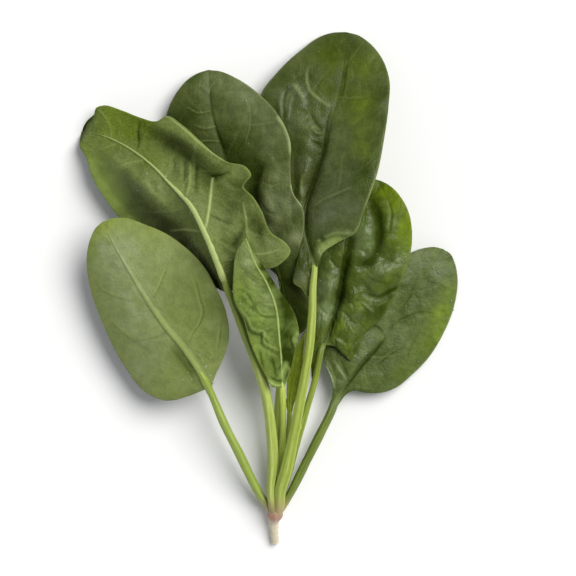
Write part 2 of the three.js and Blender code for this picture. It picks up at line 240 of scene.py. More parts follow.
upperLook = dict(
    dark=(0.046, 0.07, 0.004), light=(0.083, 0.11, 0.02), glow=(0.1, 0.15, 0.003), mottleAndShade=(0.014, 0.023, 0.001),
    paintedSheen=(0.105, 0.132, 0.055), paintedShadeDepth=0.75, mottle=0.35, vein=(0.17, 0.22, 0.07), net=0.12, grain=0.14,
    rimHighlight=(0.16, 0.23, 0.035), roughness=(0.24, 0.4), gloss=0.22, bump=0.45,
)
lowerLook = dict(
    dark=(0.155, 0.198, 0.048), light=(0.2, 0.245, 0.082), glow=(0.22, 0.29, 0.035), mottleAndShade=(0.06, 0.09, 0.015),
    paintedSheen=(0.24, 0.29, 0.12), paintedShadeDepth=0.75, mottle=0.22, vein=(0.3, 0.38, 0.11), net=0.14, grain=0.2,
    rimHighlight=(0.2, 0.27, 0.055), roughness=(0.42, 0.58), gloss=0.2, bump=0.5,
)
leafLooks = dict(
    upper=upperLook,
    under=lowerLook,
    tall=dict(upperLook, dark=(0.038, 0.06, 0.003), light=(0.068, 0.09, 0.016), rimHighlight=(0.25, 0.33, 0.09),
              glow=(0.105, 0.15, 0.002), paintedSheen=(0.1, 0.122, 0.058), roughness=(0.22, 0.38)),
    shady=dict(upperLook, dark=(0.04, 0.06, 0.006), light=(0.09, 0.115, 0.03), glow=(0.08, 0.12, 0.012),
               rimHighlight=(0.42, 0.48, 0.24), paintedSheen=(0.15, 0.18, 0.08), gloss=0.14, roughness=(0.34, 0.48)),
    glossy=dict(upperLook, dark=(0.045, 0.076, 0.002), light=(0.09, 0.13, 0.012), glow=(0.158, 0.23, 0.004),
                roughness=(0.19, 0.35), gloss=0.26, paintedSheen=(0.19, 0.25, 0.095), bump=0.35),
    spread=dict(upperLook, dark=(0.054, 0.082, 0.01), light=(0.1, 0.136, 0.031), glow=(0.155, 0.225, 0.022),
                net=0.22, grain=0.25, roughness=(0.32, 0.46), gloss=0.18, paintedSheen=(0.14, 0.17, 0.085),
                rimHighlight=(0.42, 0.48, 0.28), bump=0.5),
    broad=dict(lowerLook, dark=(0.163, 0.208, 0.05), light=(0.212, 0.26, 0.086), vein=(0.29, 0.36, 0.1),
               mottle=0.28, net=0.2, paintedSheen=(0.27, 0.32, 0.16)),
    curled=dict(lowerLook, dark=(0.078, 0.115, 0.015), light=(0.12, 0.16, 0.03), glow=(0.095, 0.145, 0.002),
                mottleAndShade=(0.009, 0.015, 0.0005), paintedShadeDepth=0.96, rimHighlight=(0.22, 0.3, 0.06), vein=(0.42, 0.5, 0.18),
                mottle=0.2, net=0.07, gloss=0.16, paintedSheen=(0.15, 0.19, 0.06)),
    young=dict(lowerLook, dark=(0.1, 0.155, 0.016), light=(0.155, 0.215, 0.042), glow=(0.2, 0.28, 0.04),
               mottleAndShade=(0.016, 0.028, 0.001), paintedShadeDepth=0.93, vein=(0.34, 0.44, 0.13), rimHighlight=(0.24, 0.33, 0.08),
               mottle=0.28, gloss=0.16),
    slip=dict(upperLook, dark=(0.185, 0.25, 0.018), light=(0.25, 0.32, 0.03), vein=(0.28, 0.36, 0.045),
              gloss=0.1),
)
leafMaterials = {key: leafMaterial("leaf_" + key, look) for key, look in leafLooks.items()}


def stalkMaterial(name, look):
    material, tree = startMaterial(name)
    fibres = noiseOf(tree, scale=1.6, detail=5, roughness=0.6, stretch=(1.2, 0.06, 1))
    spots = noiseOf(tree, scale=0.45, detail=3)
    ribs = calculate(tree, "MULTIPLY_ADD", markOf(tree, "ribs"), 0.4,
                     rangeTo(tree, fibres, 0.38, 0.66, 0, 0.7))
    colour = paintLayers(tree, look["green"], look, (
        (ribs, "pale"),
        (rangeTo(tree, spots, 0.5, 0.75, 0, 0.35), "green"),
        # darker green in the two seams, and painted shade along the stalk's sides
        (markOf(tree, "seams"), "green"),
        (markOf(tree, "neck"), "neck"),
        (markOf(tree, "foot"), "foot"),
    ))
    return finishMaterial(material, {
        "Base Color": colour, "Roughness": rangeTo(tree, fibres, 0.3, 0.7, 0.36, 0.52)},
        bump=(fibres, 0.8, 0.0004))


# the colours of a stalk's ribs, of the green between them, of its neck by the blade and of its foot
stalkParts = ("pale", "green", "neck", "foot")
stalkLooks = dict(
    middle=[(0.36, 0.45, 0.085), (0.2, 0.28, 0.03), (0.3, 0.38, 0.07), (0.4, 0.33, 0.15)],
    pale=[(0.43, 0.52, 0.1), (0.23, 0.31, 0.03), (0.3, 0.38, 0.07), (0.4, 0.33, 0.15)],
    # this look's neck colour is dark olive, painted shade on the stalk's upper part by the blade
    light=[(0.52, 0.6, 0.17), (0.27, 0.35, 0.04), (0.17, 0.23, 0.025), (0.3, 0.25, 0.1)],
    dark=[(0.2, 0.27, 0.034), (0.075, 0.115, 0.007), (0.075, 0.1, 0.025), (0.34, 0.3, 0.1)],
    green=[(0.32, 0.4, 0.06), (0.17, 0.24, 0.013), (0.09, 0.13, 0.008), (0.36, 0.33, 0.1)],
    olive=[(0.23, 0.31, 0.03), (0.14, 0.2, 0.012), (0.16, 0.22, 0.013), (0.36, 0.3, 0.1)],
    bright=[(0.64, 0.74, 0.14), (0.34, 0.45, 0.035), (0.45, 0.56, 0.11), (0.4, 0.35, 0.12)],
)
stalkMaterials = {key: stalkMaterial("stalk_" + key, dict(zip(stalkParts, look)))
                  for key, look in stalkLooks.items()}
print("leaf and stalk materials made")


# Leaves

def lineField(x, y, guide, parts=20):
    # distance to a smooth line in plan, signed distance with its left side positive, and place along it
    pts = lineThrough(np.reshape(guide, (-1, 2)), np.linspace(0, 1, parts + 1))
    best = np.full(x.shape, 1e9)
    signed = np.zeros(x.shape)
    place = np.zeros(x.shape)
    for k, (p, q) in enumerate(zip(pts[:-1], pts[1:])):
        run = q - p
        t = np.clip(((x - p[0]) * run[0] + (y - p[1]) * run[1]) / (run @ run), 0, 1)
        dx, dy = x - p[0] - t * run[0], y - p[1] - t * run[1]
        d = dx * dx + dy * dy
        closer = d < best
        best = np.where(closer, d, best)
        signed = np.where(closer, np.sign(run[0] * dy - run[1] * dx) * np.sqrt(d), signed)
        place = np.where(closer, (k + t) / parts, place)
    return np.sqrt(best), signed, place


def spotField(x, y, spots, start=0):
    # soft round spots, each its x, y, radius and strength
    return sum((strength * np.exp(-((x - spotX) ** 2 + (y - spotY) ** 2) / radius**2)
                for spotX, spotY, radius, strength in spots), start + np.zeros(x.shape))


def strokes(x, y, rows, taper=0.4):
    # soft strokes along guides, weaker towards their ends
    fields = [np.zeros(x.shape)]
    for strength, width, guide in rows:
        d, _, place = lineField(x, y, guide)
        fields.append(strength * np.exp(-(d / width) ** 2) * np.sin(math.pi * place) ** taper)
    return fields


foldShapes = dict(
    ridge=lambda d, signed, width: np.exp(-(d / width) ** 2),
    crease=lambda d, signed, width: -np.exp(-(d / width) ** 1.3),
    step=lambda d, signed, width: signed / width * np.exp(0.5 * (1 - (d / width) ** 2)),
    ledge=lambda d, signed, width: (0.5 + 0.5 * np.tanh(signed / 0.5)) * np.exp(-(d / width) ** 2),
)


def foldLift(x, y, folds):
    # how far drawn folds lift the blade, mm
    lift = np.zeros(x.shape)
    for kind, height, width, guide in folds:
        d, signed, place = lineField(x, y, guide)
        lift += height * foldShapes[kind](d, signed, width) * np.sqrt(np.sin(math.pi * place))
    return lift


def bladeFrame(leaf, u, s):
    # points of the blade's middle surface on the grid u by s, all in mm
    mid, left, right = (lineThrough(leaf[key], u)[:, None] for key in ("midrib", "leftEdge", "rightEdge"))
    away = np.abs(s)[None, :, None]
    edge = np.where(s[None, :, None] < 0, left, right)
    points = mid * (1 - away) + edge * away
    rounded = away ** (1 + leaf["tipRound"] * smoothStep(u, 0.4, 0.75)[:, None, None])
    points[..., 2] = (mid * (1 - rounded) + edge * rounded)[..., 2]
    if "leftFall" in leaf:
        # the left half keeps its height beside the midrib and then drops
        extra = ((edge - mid) * (smoothStep(away, *leaf["leftFall"]) - away) * (s < 0)[None, :, None])[..., 2]
        points[..., 2] += extra * (smoothStep(u, 0.35, 0.55) - smoothStep(u, 0.75, 0.95))[:, None]
    if "tipDome" in leaf:
        # the tip is one smooth dome, so no valley runs along its midrib
        top, x, y, wide, long = leaf["tipDome"]
        dome = top - 2 * ((points[..., 0] - x) / wide) ** 2 - 14 * ((points[..., 1] - y) / long) ** 2
        points[..., 2] += (dome - points[..., 2]) * smoothStep(u, 0.74, 0.9)[:, None]
    swell = np.where(s < 0, *leaf["swell"])[None]
    lengthwise = (np.sin(math.pi * np.clip(u, 0, 1)) ** 0.7)[:, None]
    points[..., 2] += (4 * rounded * (1 - rounded))[..., 0] * swell * lengthwise
    for dent in leaf["dents"]:
        points[..., 2] -= spotField(points[..., 0], points[..., 1], [dent])
    return points


def bladePiece(name, leaf):
    rows = int(bunch["rows"] * leaf["fineness"])
    columns = int(bunch["columns"] * leaf["fineness"]) // 2 * 2
    centre = columns // 2
    u = np.linspace(0, 0.9992, rows + 1)                # stops just short of where the edges meet
    s = np.linspace(-1, 1, columns + 1)
    s = np.sign(s) * np.abs(s) ** 1.3                   # columns are closer beside the midrib
    points = bladeFrame(leaf, u, s)
    planX, planY = points[..., 0].copy(), points[..., 1].copy()
    upward = 1 if leaf["shows"] == "upper" else -1      # which way the blade's upper side looks

    along = travelled(points[:, centre])
    length = along[-1]
    along = np.repeat(along[:, None], columns + 1, 1)
    wide = np.linalg.norm(points - points[:, centre:centre + 1], axis=2)
    across = wide * np.sign(s)
    away = np.abs(s) + 0 * wide
    half = np.where(s < 0, wide[:, :1], wide[:, -1:])
    waves = lambda size, extra: softNoise(along, across, size, leaf["seed"] + extra)
    planWaves = lambda size, extra: softNoise(planX, planY, size, leaf["seed"] + extra)

    # side veins leave the midrib on a slant and bend towards the tip
    lean, bend = leaf["veinLean"], leaf["veinBend"]
    slant = along - lean * wide - bend * wide**2 + 0.8 * waves(15, 9)
    steepness = np.sqrt(1 + (lean + 2 * bend * wide) ** 2)
    nearest = np.full(slant.shape, 99.0)
    for side, fractions in zip((-1, 1), leaf["veins"]):
        for fraction in fractions:
            d = np.abs(slant - fraction * length) / steepness
            nearest = np.where((s * side > 0) & (d < nearest), d, nearest)
    fade = smoothStep(1 - away, 0, 0.14) * smoothStep(wide, 0.2, 1.5)
    veinRadius = 0.2 + leaf["veinWidth"] * (1 - 0.75 * wide / (half + 0.01))
    sideVein = np.exp(-(nearest / veinRadius) ** 2) * fade
    sideVein *= 0.2 + 0.8 * smoothStep(waves(23, 0), -0.7, 0.5)
    # drawn pale veins; a few of these lines paint highlights along edges and curls instead
    drawn = np.max(strokes(planX, planY, leaf["veinAndHighlightLines"], taper=0.3), axis=0)

    # the blade puffs up between its veins and between the cells of a fine net
    quilt = (1 - np.exp(-(nearest / 5) ** 2)) * (1 - np.exp(-(wide / 4) ** 2)) * (1 - 0.7 * away**3)
    near, second = cellPattern(along + 2 * waves(19, 5), across, leaf["cellSize"], leaf["seed"])
    cellEdge = np.exp(-((second - near) / 0.55) ** 2) * smoothStep(1 - away, 0, 0.1)
    puff = np.sqrt(np.clip((second - near) / (0.7 * leaf["cellSize"]), 0, 1))
    lift = leaf["quilt"] * quilt + leaf["puff"] * puff * (0.3 + 0.7 * smoothStep(wide, 0, 5))
    ruffle = leaf["ruffle"] * away**4 * np.sin(
        math.tau * along / leaf["ruffleLength"] + across * 0.05 + leaf["seed"])
    calm = smoothStep(along, 0, 8) * smoothStep(length - along, 0, 5)
    points[..., 2] += (upward * lift + ruffle + leaf["wave"] * waves(26, 26) + leaf["crumple"] * waves(11, 11)
                       + 0.3 * leaf["crumple"] * waves(5, 5)) * calm
    drawnFolds = spotField(planX, planY, leaf["bumps"], foldLift(planX, planY, leaf["folds"]))
    points[..., 2] += drawnFolds

    # fine crinkles: sharp little valleys that wander over the blade
    wander = np.stack([planWaves(leaf["crinkleSize"] * (1 + 0.5 * turn), 40 + turn) for turn in (0, 1)])
    valleys = np.exp(-np.abs(wander) * 5).max(axis=0)
    valleys *= calm * (0.5 + 0.5 * smoothStep(planWaves(40, 50), -0.6, 0.6))
    points[..., 2] -= leaf["crinkle"] * valleys

    # midrib: a round rib below the blade, a groove above it
    ribRadius = leaf["stalkRadii"][-1] * leaf["ribScale"] * (1 - along / length) ** leaf["ribTaper"] + 0.2
    rib = np.sqrt(np.clip(1 - (wide / (1.15 * ribRadius)) ** 2, 0, 1)) * ribRadius * leaf["ribHeight"]
    rib *= 0.2 + 0.8 * smoothStep(along, 0, 8)
    groove = leaf["groove"] * np.exp(-(wide / (0.9 * ribRadius + 0.2)) ** 2)
    groove *= smoothStep(along, 0, 10) * smoothStep(length - along, 0.05 * length, 0.6 * length)

    # the two faces lie half the thickness to each side, with thinner rims
    t = bunch["bladeThickness"] / 2
    thin = 0.55 + 0.45 * smoothStep(1 - away, 0, 0.04)
    normal = np.cross(np.gradient(points, axis=1), np.gradient(points, axis=0))
    normal *= upward / (np.linalg.norm(normal, axis=2, keepdims=True) + 1e-9)
    upperFace = points + normal * (t * thin - groove - 0.14 * sideVein - 0.06 * cellEdge
                                   - 0.12 * drawn)[..., None]
    lowerFace = points - normal * (t * thin + rib + leaf["veinRise"] * (sideVein + 1.3 * drawn)
                                   + 0.08 * cellEdge)[..., None]
    high, low = (upperFace, lowerFace) if upward > 0 else (lowerFace, upperFace)
    low[..., 2] = np.maximum(low[..., 2], bunch["tableGap"])
    high[..., 2] = np.maximum(high[..., 2], low[..., 2] + bunch["thinnest"])

    # what the materials need to know at each point
    ribEnd = np.clip(1.15 - along / length * leaf["ribFade"], 0, 1)
    midLine = np.exp(-(wide / (ribRadius * leaf["ribShow"])) ** 4) * ribEnd
    midLine *= 1 - leaf["baseFade"] * (1 - smoothStep(along, 0, 9))
    # painted highlight along the edge; pale lines add painted highlights, pale spots painted highlights and
    # paler patches
    rimHighlight = smoothStep(away, 0.955, 1) * leaf["rimShow"] * (0.5 + 0.5 * waves(30, 2))
    pale = sum(strokes(planX, planY, leaf["highlightLines"]), spotField(planX, planY, leaf["pale"]))
    # painted shade from shade spots and shade lines, with more painted shade in folds and crinkle valleys
    paintedShade = sum(strokes(planX, planY, leaf["shadeLines"]), spotField(planX, planY, leaf["shade"]))
    paintedShade += leaf["creaseShade"] * np.clip(-drawnFolds - 0.2, 0, 1.5) + leaf["crinkle"] * 0.8 * valleys
    marks = dict(
        # the drawn lines here include painted highlights
        veins=midLine + leaf["veinShow"] * sideVein + leaf["cellShow"] * cellEdge + drawn,
        # painted brighter, yellower light, partly the leaf's own tone
        glow=spotField(planX, planY, leaf["glow"]) * (0.85 + 0.25 * waves(12, 3)),
        rimHighlight=np.clip(rimHighlight, 0, 1) + pale,
        paintedShade=paintedShade,
        # painted pale sheen
        paintedSheen=spotField(planX, planY, leaf["paintedSheen"]) * (0.9 + 0.3 * planWaves(9, 6)),
    )
    marks = {key: np.tile(np.clip(values, 0, 1).ravel(), 2) for key, values in marks.items()}
    place = np.stack([planX.ravel(), planY.ravel(), np.full(planX.size, leaf["seed"] * 31.0)], 1)
    marks["place"] = np.tile(place, (2, 1))

    index = np.arange(planX.size).reshape(planX.shape)
    quads = np.stack([index[:-1, :-1], index[:-1, 1:], index[1:, 1:], index[1:, :-1]], -1).reshape(-1, 4)
    ring = np.concatenate([index[0, :], index[1:, -1], index[-1, -2::-1], index[-2:0:-1, 0]])
    after = np.roll(ring, -1)
    wall = np.stack([ring, ring + index.size, after + index.size, after], -1)
    faces = np.concatenate([quads, quads[:, ::-1] + index.size, wall]).tolist()
    underside = np.repeat([0, 1, 0], [len(quads), len(quads), len(wall)])
    looks = [leafMaterials[leaf["topLook"]], leafMaterials[leaf["undersideLook"]]]
    leaf.update(face=high, centreLine=points[:, centre], centreWay=-normal[:, centre],
                centreRib=ribRadius[:, centre])
    corners = np.concatenate([high.reshape(-1, 3), low.reshape(-1, 3)])
    return makePiece(name, corners, faces, marks, looks, underside)


def ringQuads(index, hand=1):
    # faces between rings of points; hand says which way the rings turn
    around = np.roll(index, -1, axis=1)
    quads = np.stack([index[:-1], around[:-1], around[1:], index[1:]], -1).reshape(-1, 4)
    return (quads if hand > 0 else quads[:, [0, 3, 2, 1]]).tolist()


def tube(centre, radius, angle, hand=1):
    # points of rings around a line, and faces that close them
    forward = unit(np.gradient(centre, axis=0))
    sideways = unit(np.stack([forward[:, 1], -forward[:, 0], 0 * forward[:, 0]], 1))
    upward = np.cross(sideways, forward)
    points = (centre[:, None] + hand * sideways[:, None] * (radius * np.cos(angle))[..., None]
              + upward[:, None] * (radius * np.sin(angle))[..., None])
    index = np.arange(radius.size).reshape(radius.shape)
    return points, ringQuads(index, hand) + [index[0, ::-hand].tolist(), index[-1, ::hand].tolist()]


def stalkPiece(name, leaf):
    # the stalk starts inside the crown and ends hidden in the midrib's rib
    fromAbove = leaf["shows"] == "upper"
    rings, sides = bunch["stalkRings"], bunch["stalkSides"]
    startX, _, startZ = leaf["stalk"][0]
    line, way, rib = leaf["centreLine"], leaf["centreWay"], leaf["centreRib"]
    below = way[0] * leaf["stalkRadii"][-1] * (0.45 if fromAbove else 0)
    path = [[startX * 0.35, -1.0, 5.5 + (startZ - 6) * 0.3], *leaf["stalk"][:-1], line[0] + below]
    radii = [leaf["stalkRadii"][0] * 0.8, *leaf["stalkRadii"]]
    offsets = (0.9, 1.05, 1.1) if fromAbove else (0.1, 0.05, 0.0)
    shrinks = (0.88, 0.72, 0.45) if fromAbove else (1.0, 0.9, 0.5)
    for distance, offset, shrink in zip((3, 7, 12), offsets, shrinks):
        k = int(np.searchsorted(travelled(line), distance * leaf["stalkRun"]))
        path.append(line[k] + way[k] * rib[k] * offset)
        radii.append(rib[k] * shrink)
    u = np.linspace(0, 1, rings + 1)
    sized = lineThrough(np.column_stack([path, radii]), u)
    centre, radius = sized[:, :3], sized[:, 3]
    angle = np.linspace(0, math.tau, sides, endpoint=False)
    ribs = 0.5 + 0.5 * np.cos(leaf["ribs"] * angle + leaf["seed"])
    channel = math.pi / 2 if fromAbove else -math.pi / 2
    turn = (angle - channel + math.pi) % math.tau - math.pi
    fromTop = np.abs((angle + math.pi / 2) % math.tau - math.pi)
    seams = leaf["seamShow"] * np.exp(-((fromTop - 0.6) / 0.2) ** 2)     # two soft grooves beside the top
    profile = 1 + 0.05 * (ribs - 0.5) - leaf["channel"] * np.exp(-(turn / 0.42) ** 2) - 0.06 * seams
    swollen = 1 + 0.03 * np.sin(u * 23 + leaf["seed"]) * np.sin(math.pi * u)
    r = (radius * swollen)[:, None] * profile[None]
    points, faces = tube(centre, r, angle)
    for nub in leaf["nubs"]:
        raised = spotField(points[..., 0], points[..., 1], [nub])
        points += (points - centre[:, None]) / r[..., None] * raised[..., None]
    points[..., 2] = np.maximum(points[..., 2], bunch["tableGap"])
    along = np.repeat(travelled(centre), sides)
    neckStart, neckEnd = leaf["neckSpan"]
    marks = dict(
        ribs=np.tile(ribs, rings + 1),
        foot=np.exp(-((np.maximum(points[..., 1] - 1, 0)) / 6) ** 2).ravel(),
        neck=smoothStep(along, along[-1] * neckStart, along[-1] * neckEnd) * leaf["neckShow"],
        # the sides are painted darker green as painted shade so the stalk looks round; the seams darken too
        seams=np.tile(np.clip(0.5 * np.cos(angle) ** 4 + seams, 0, 1), rings + 1),
        place=np.stack([np.tile(angle * 2.2, rings + 1), along, np.full(r.size, leaf["seed"] * 17.0)], 1),
    )
    return makePiece(name, points.reshape(-1, 3), faces, marks, [stalkMaterials[leaf["stalkLook"]]])


# Every leaf starts from these values. A guide gives x and y of its points in turn, without heights
# A drawn vein, shade line or pale line is its strength, width and guide; shade lines are painted shade, pale
# lines painted highlights, and some drawn veins painted highlights along edges
# A fold is its kind, height, width and guide
# Bumps, dents and nubs are x, y, radius and height
# Glow, sheen, shade and pale spots are x, y, radius and strength: glow is painted brighter, yellower light,
# partly the leaf's own tone; sheen is a painted pale sheen; shade is painted shade; pale spots are painted
# highlights and paler patches
common = dict(
    fineness=1, shows="upper", topLook="upper", undersideLook="under", stalkLook="pale",
    veinLean=0.75, veinBend=0.006, veinWidth=0.4, veinRise=0.22, veinShow=0.3, cellShow=0.07, cellSize=6.5,
    puff=0.2, quilt=0.5, wave=0.4, crumple=0.22, crinkle=0.08, crinkleSize=11, ruffle=0.35, ruffleLength=24,
    ribScale=1.0, ribHeight=1.0, ribTaper=0.9, ribShow=0.8, ribFade=3.5, baseFade=0.0, groove=0.45,
    rimShow=0.6, creaseShade=0.4, tipRound=0.0, ribs=6, channel=0.12, seamShow=0.35, stalkRun=1.0,
    neckShow=0.6, neckSpan=(0.72, 0.97), veinAndHighlightLines=[], folds=[], bumps=[], dents=[], nubs=[], glow=[],
    paintedSheen=[], shade=[], shadeLines=[], pale=[], highlightLines=[],
)

tallLeaf = dict(
    common, seed=3, topLook="tall", swell=(1.5, 2.5), stalkRun=0.3,
    veins=([0.17, 0.3, 0.54, 0.66, 0.88], [0.25, 0.5, 0.73, 0.84]), ribFade=6, quilt=0.2, veinShow=0.16,
    tipRound=1.2, tipDome=(16, 34, 198, 22, 36), crinkle=0.06, seamShow=0.9,
    midrib=[[19.4, 121, 29], [17, 128.5, 26.5], [15, 137.5, 24], [15.5, 149.5, 22], [19.5, 162, 21.5],
            [24, 176, 21], [27.5, 191, 19], [31, 204, 14.8], [34, 219, 8.6], [35, 235.5, -0.5]],
    leftEdge=[[19, 119.5, 29], [16, 106, 29], [13.5, 110, 29], [9.5, 113, 28.5], [10.5, 119.5, 26.5],
              [10.5, 124, 24.5], [8, 134, 20], [3, 153.5, 14], [-3, 173.5, 11], [-7, 192, 10],
              [-6.5, 204.5, 9.5], [1.5, 215.5, 9], [12.5, 226, 7.5], [23, 233.5, 4], [29, 235.3, 1.5],
              [35, 235.5, -0.5]],
    rightEdge=[[21, 121, 30], [24, 128, 30], [29, 131.5, 30.5], [34.5, 134.5, 32], [38.5, 136.5, 33],
               [43.5, 148, 34], [49.5, 164.5, 33], [53.5, 184, 28], [55.5, 198.5, 21], [56, 212, 14],
               [52.5, 222.5, 8.5], [45.5, 231, 4], [41, 234, 1.5], [35, 235.5, -0.5]],
    stalk=[[2.5, 3.5, 9], [3, 11.5, 11.5], [5.5, 20.5, 15], [8.5, 34, 19], [11, 46.5, 22.5], [14.5, 66, 26],
           [17, 80.5, 28.5], [18.4, 97.5, 30], [18.9, 112, 30], [19.4, 121, 29]],
    stalkRadii=[2.4, 2.9, 3, 2.8, 2.6, 2.3, 2.2, 2.05, 1.8, 1.45],
    veinAndHighlightLines=[
        (0.9, 0.5, [16.5, 218, 16, 211.5, 18, 206, 22.5, 202, 27.5, 198.5]),
        (0.5, 0.45, [19.5, 150.5, 24, 153.5, 30.5, 156.5, 38, 159.5]),
        (0.4, 0.4, [31, 158, 32.5, 165, 33, 173.5]),
        (0.3, 0.35, [29.5, 203.5, 37, 203, 47.5, 204]),
        (0.8, 0.5, [48.5, 161, 45.5, 151, 42, 142, 38, 136.5]),
        (0.8, 0.6, [37, 136.5, 29.5, 137, 24.5, 135, 21, 133]),
    ],
    folds=[
        ("crease", 0.25, 0.8, [35, 228.5, 33.5, 216.5, 31.5, 204]),
        ("crease", 2.2, 1.6, [27.5, 198.5, 25, 187, 23.5, 176.5, 19, 164, 15.5, 153.5, 14, 143.5, 13, 131.5]),
        ("step", 1.2, 3, [26.5, 197, 23.5, 177.5, 16.5, 155.5]),
        ("ridge", 0.9, 0.9, [3.5, 207.5, 2.5, 200, 3.5, 192]),
        ("crease", 1, 0.8, [6.5, 208.5, 5, 202, 4.5, 193]),
        ("ridge", 0.9, 0.9, [8, 203.5, 7, 198, 6, 191]),
        ("ridge", 0.9, 1.3, [8, 210.5, 11.5, 206, 14, 201.5, 13, 197]),
        ("crease", 0.9, 0.8, [17, 196, 20, 191, 23.5, 186.5]),
        ("ridge", 0.8, 1.2, [18, 189.5, 21, 185.5, 25, 186]),
        ("crease", 0.9, 0.8, [17.5, 181.5, 20.5, 180.5, 23.5, 178]),
        ("ridge", 1, 1.2, [17, 173.5, 15, 167, 12.5, 160, 13, 154]),
        ("crease", 0.8, 2, [11, 177.5, 10, 168, 10.5, 158]),
        ("crease", 0.3, 0.8, [29.5, 203.5, 37, 203, 47.5, 204]),
        ("crease", 0.4, 0.8, [19.5, 150.5, 24, 153.5, 30.5, 156.5, 38, 159.5]),
        ("ridge", 1.2, 1.5, [37, 136.5, 29.5, 137, 24.5, 135, 21, 133]),
        ("ridge", 1.5, 2.5, [22, 133, 18.5, 125.5, 14, 120.5, 10, 115.5]),
    ],
    bumps=[(12.5, 189.5, 4, 0.8), (15, 180, 4, 0.6), (23, 134, 1.2, -2)],
    nubs=[(13.9, 42.5, 1.2, 1.5)],
    glow=[(45, 218, 8, 0.6), (42, 199, 7, 0.85), (42.5, 188, 6, 0.5), (43, 177, 6, 0.5), (28, 222, 9, 0.6),
          (27, 207, 5, 0.6), (14, 113, 4, 0.6)],
    paintedSheen=[(39, 170, 3.5, 0.5), (11, 208, 2.2, 0.9), (13.6, 203.5, 2, 1.0), (14, 199.5, 1.6, 1.0),
          (6, 199, 1.8, 0.8), (24, 190, 3, 0.5), (15.5, 168, 2.5, 0.7), (26, 152, 8, 0.7), (27, 168, 5, 0.5),
          (34, 160, 7, 0.4), (3, 204, 4, 0.6), (40, 148, 7, 0.7), (11, 205, 6, 0.5), (9, 190, 6, 0.6),
          (14, 172, 6, 0.5), (12.6, 115.5, 4, 0.9), (30, 145, 5, 0.4), (32, 181, 6, 0.3),
          (21.5, 143, 6, 0.8)],
    shade=[(51, 193, 6, 0.5), (51, 203, 4, 0.3), (48, 216, 5, 0.2), (48.5, 183, 4, 0.4), (17, 213, 5, 0.4),
           (43, 168, 5, 0.6), (37, 170, 3, 0.3), (54, 190, 3, 0.3), (13, 130, 5, 0.6), (30, 227, 9, 0.5),
           (30, 214, 5, 0.25), (42, 229, 7, 0.3), (54, 206, 5, 0.6), (22, 222, 10, 0.25), (28, 206, 5, 0.5),
           (54, 216, 3, 0.3), (23, 134, 2, 0.6), (12, 122, 4, 0.4)],
    shadeLines=[
        (0.7, 0.5, [37.5, 226, 35.5, 218, 34.2, 208, 31.5, 200]),
        (0.5, 0.5, [6.5, 208.5, 5, 202, 4.5, 193]),
        (0.45, 0.4, [15, 217, 14.8, 211, 17, 205, 21.5, 201, 27, 197]),
        (0.4, 0.4, [32, 203.5, 38, 201.8, 47.5, 203]),
        (0.4, 0.4, [20, 149, 25, 152, 31, 155, 39, 158.5]),
        (0.5, 0.5, [17, 195.5, 20, 190.5, 23.5, 186]),
        (0.7, 0.7, [22, 134, 28, 135, 34, 135.4]),
        (0.4, 0.5, [11, 177.5, 10, 168, 10.5, 158]),
    ],
    pale=[(31, 134, 3, 0.7), (27, 132, 3, 0.75), (24, 129, 3, 0.65)],
    # painted glints on the wet left half
    highlightLines=[
        (0.5, 0.5, [8.7, 210, 11.2, 207.6, 13.1, 204.2, 14.1, 201]),
        (0.35, 0.4, [7.3, 205.6, 5.8, 199.3, 5.3, 194.5]),
        (0.35, 0.4, [17.3, 188, 19.9, 188.7, 22, 187.5]),
        (0.3, 0.4, [14.3, 171, 13.3, 163, 13.6, 156]),
    ],
)

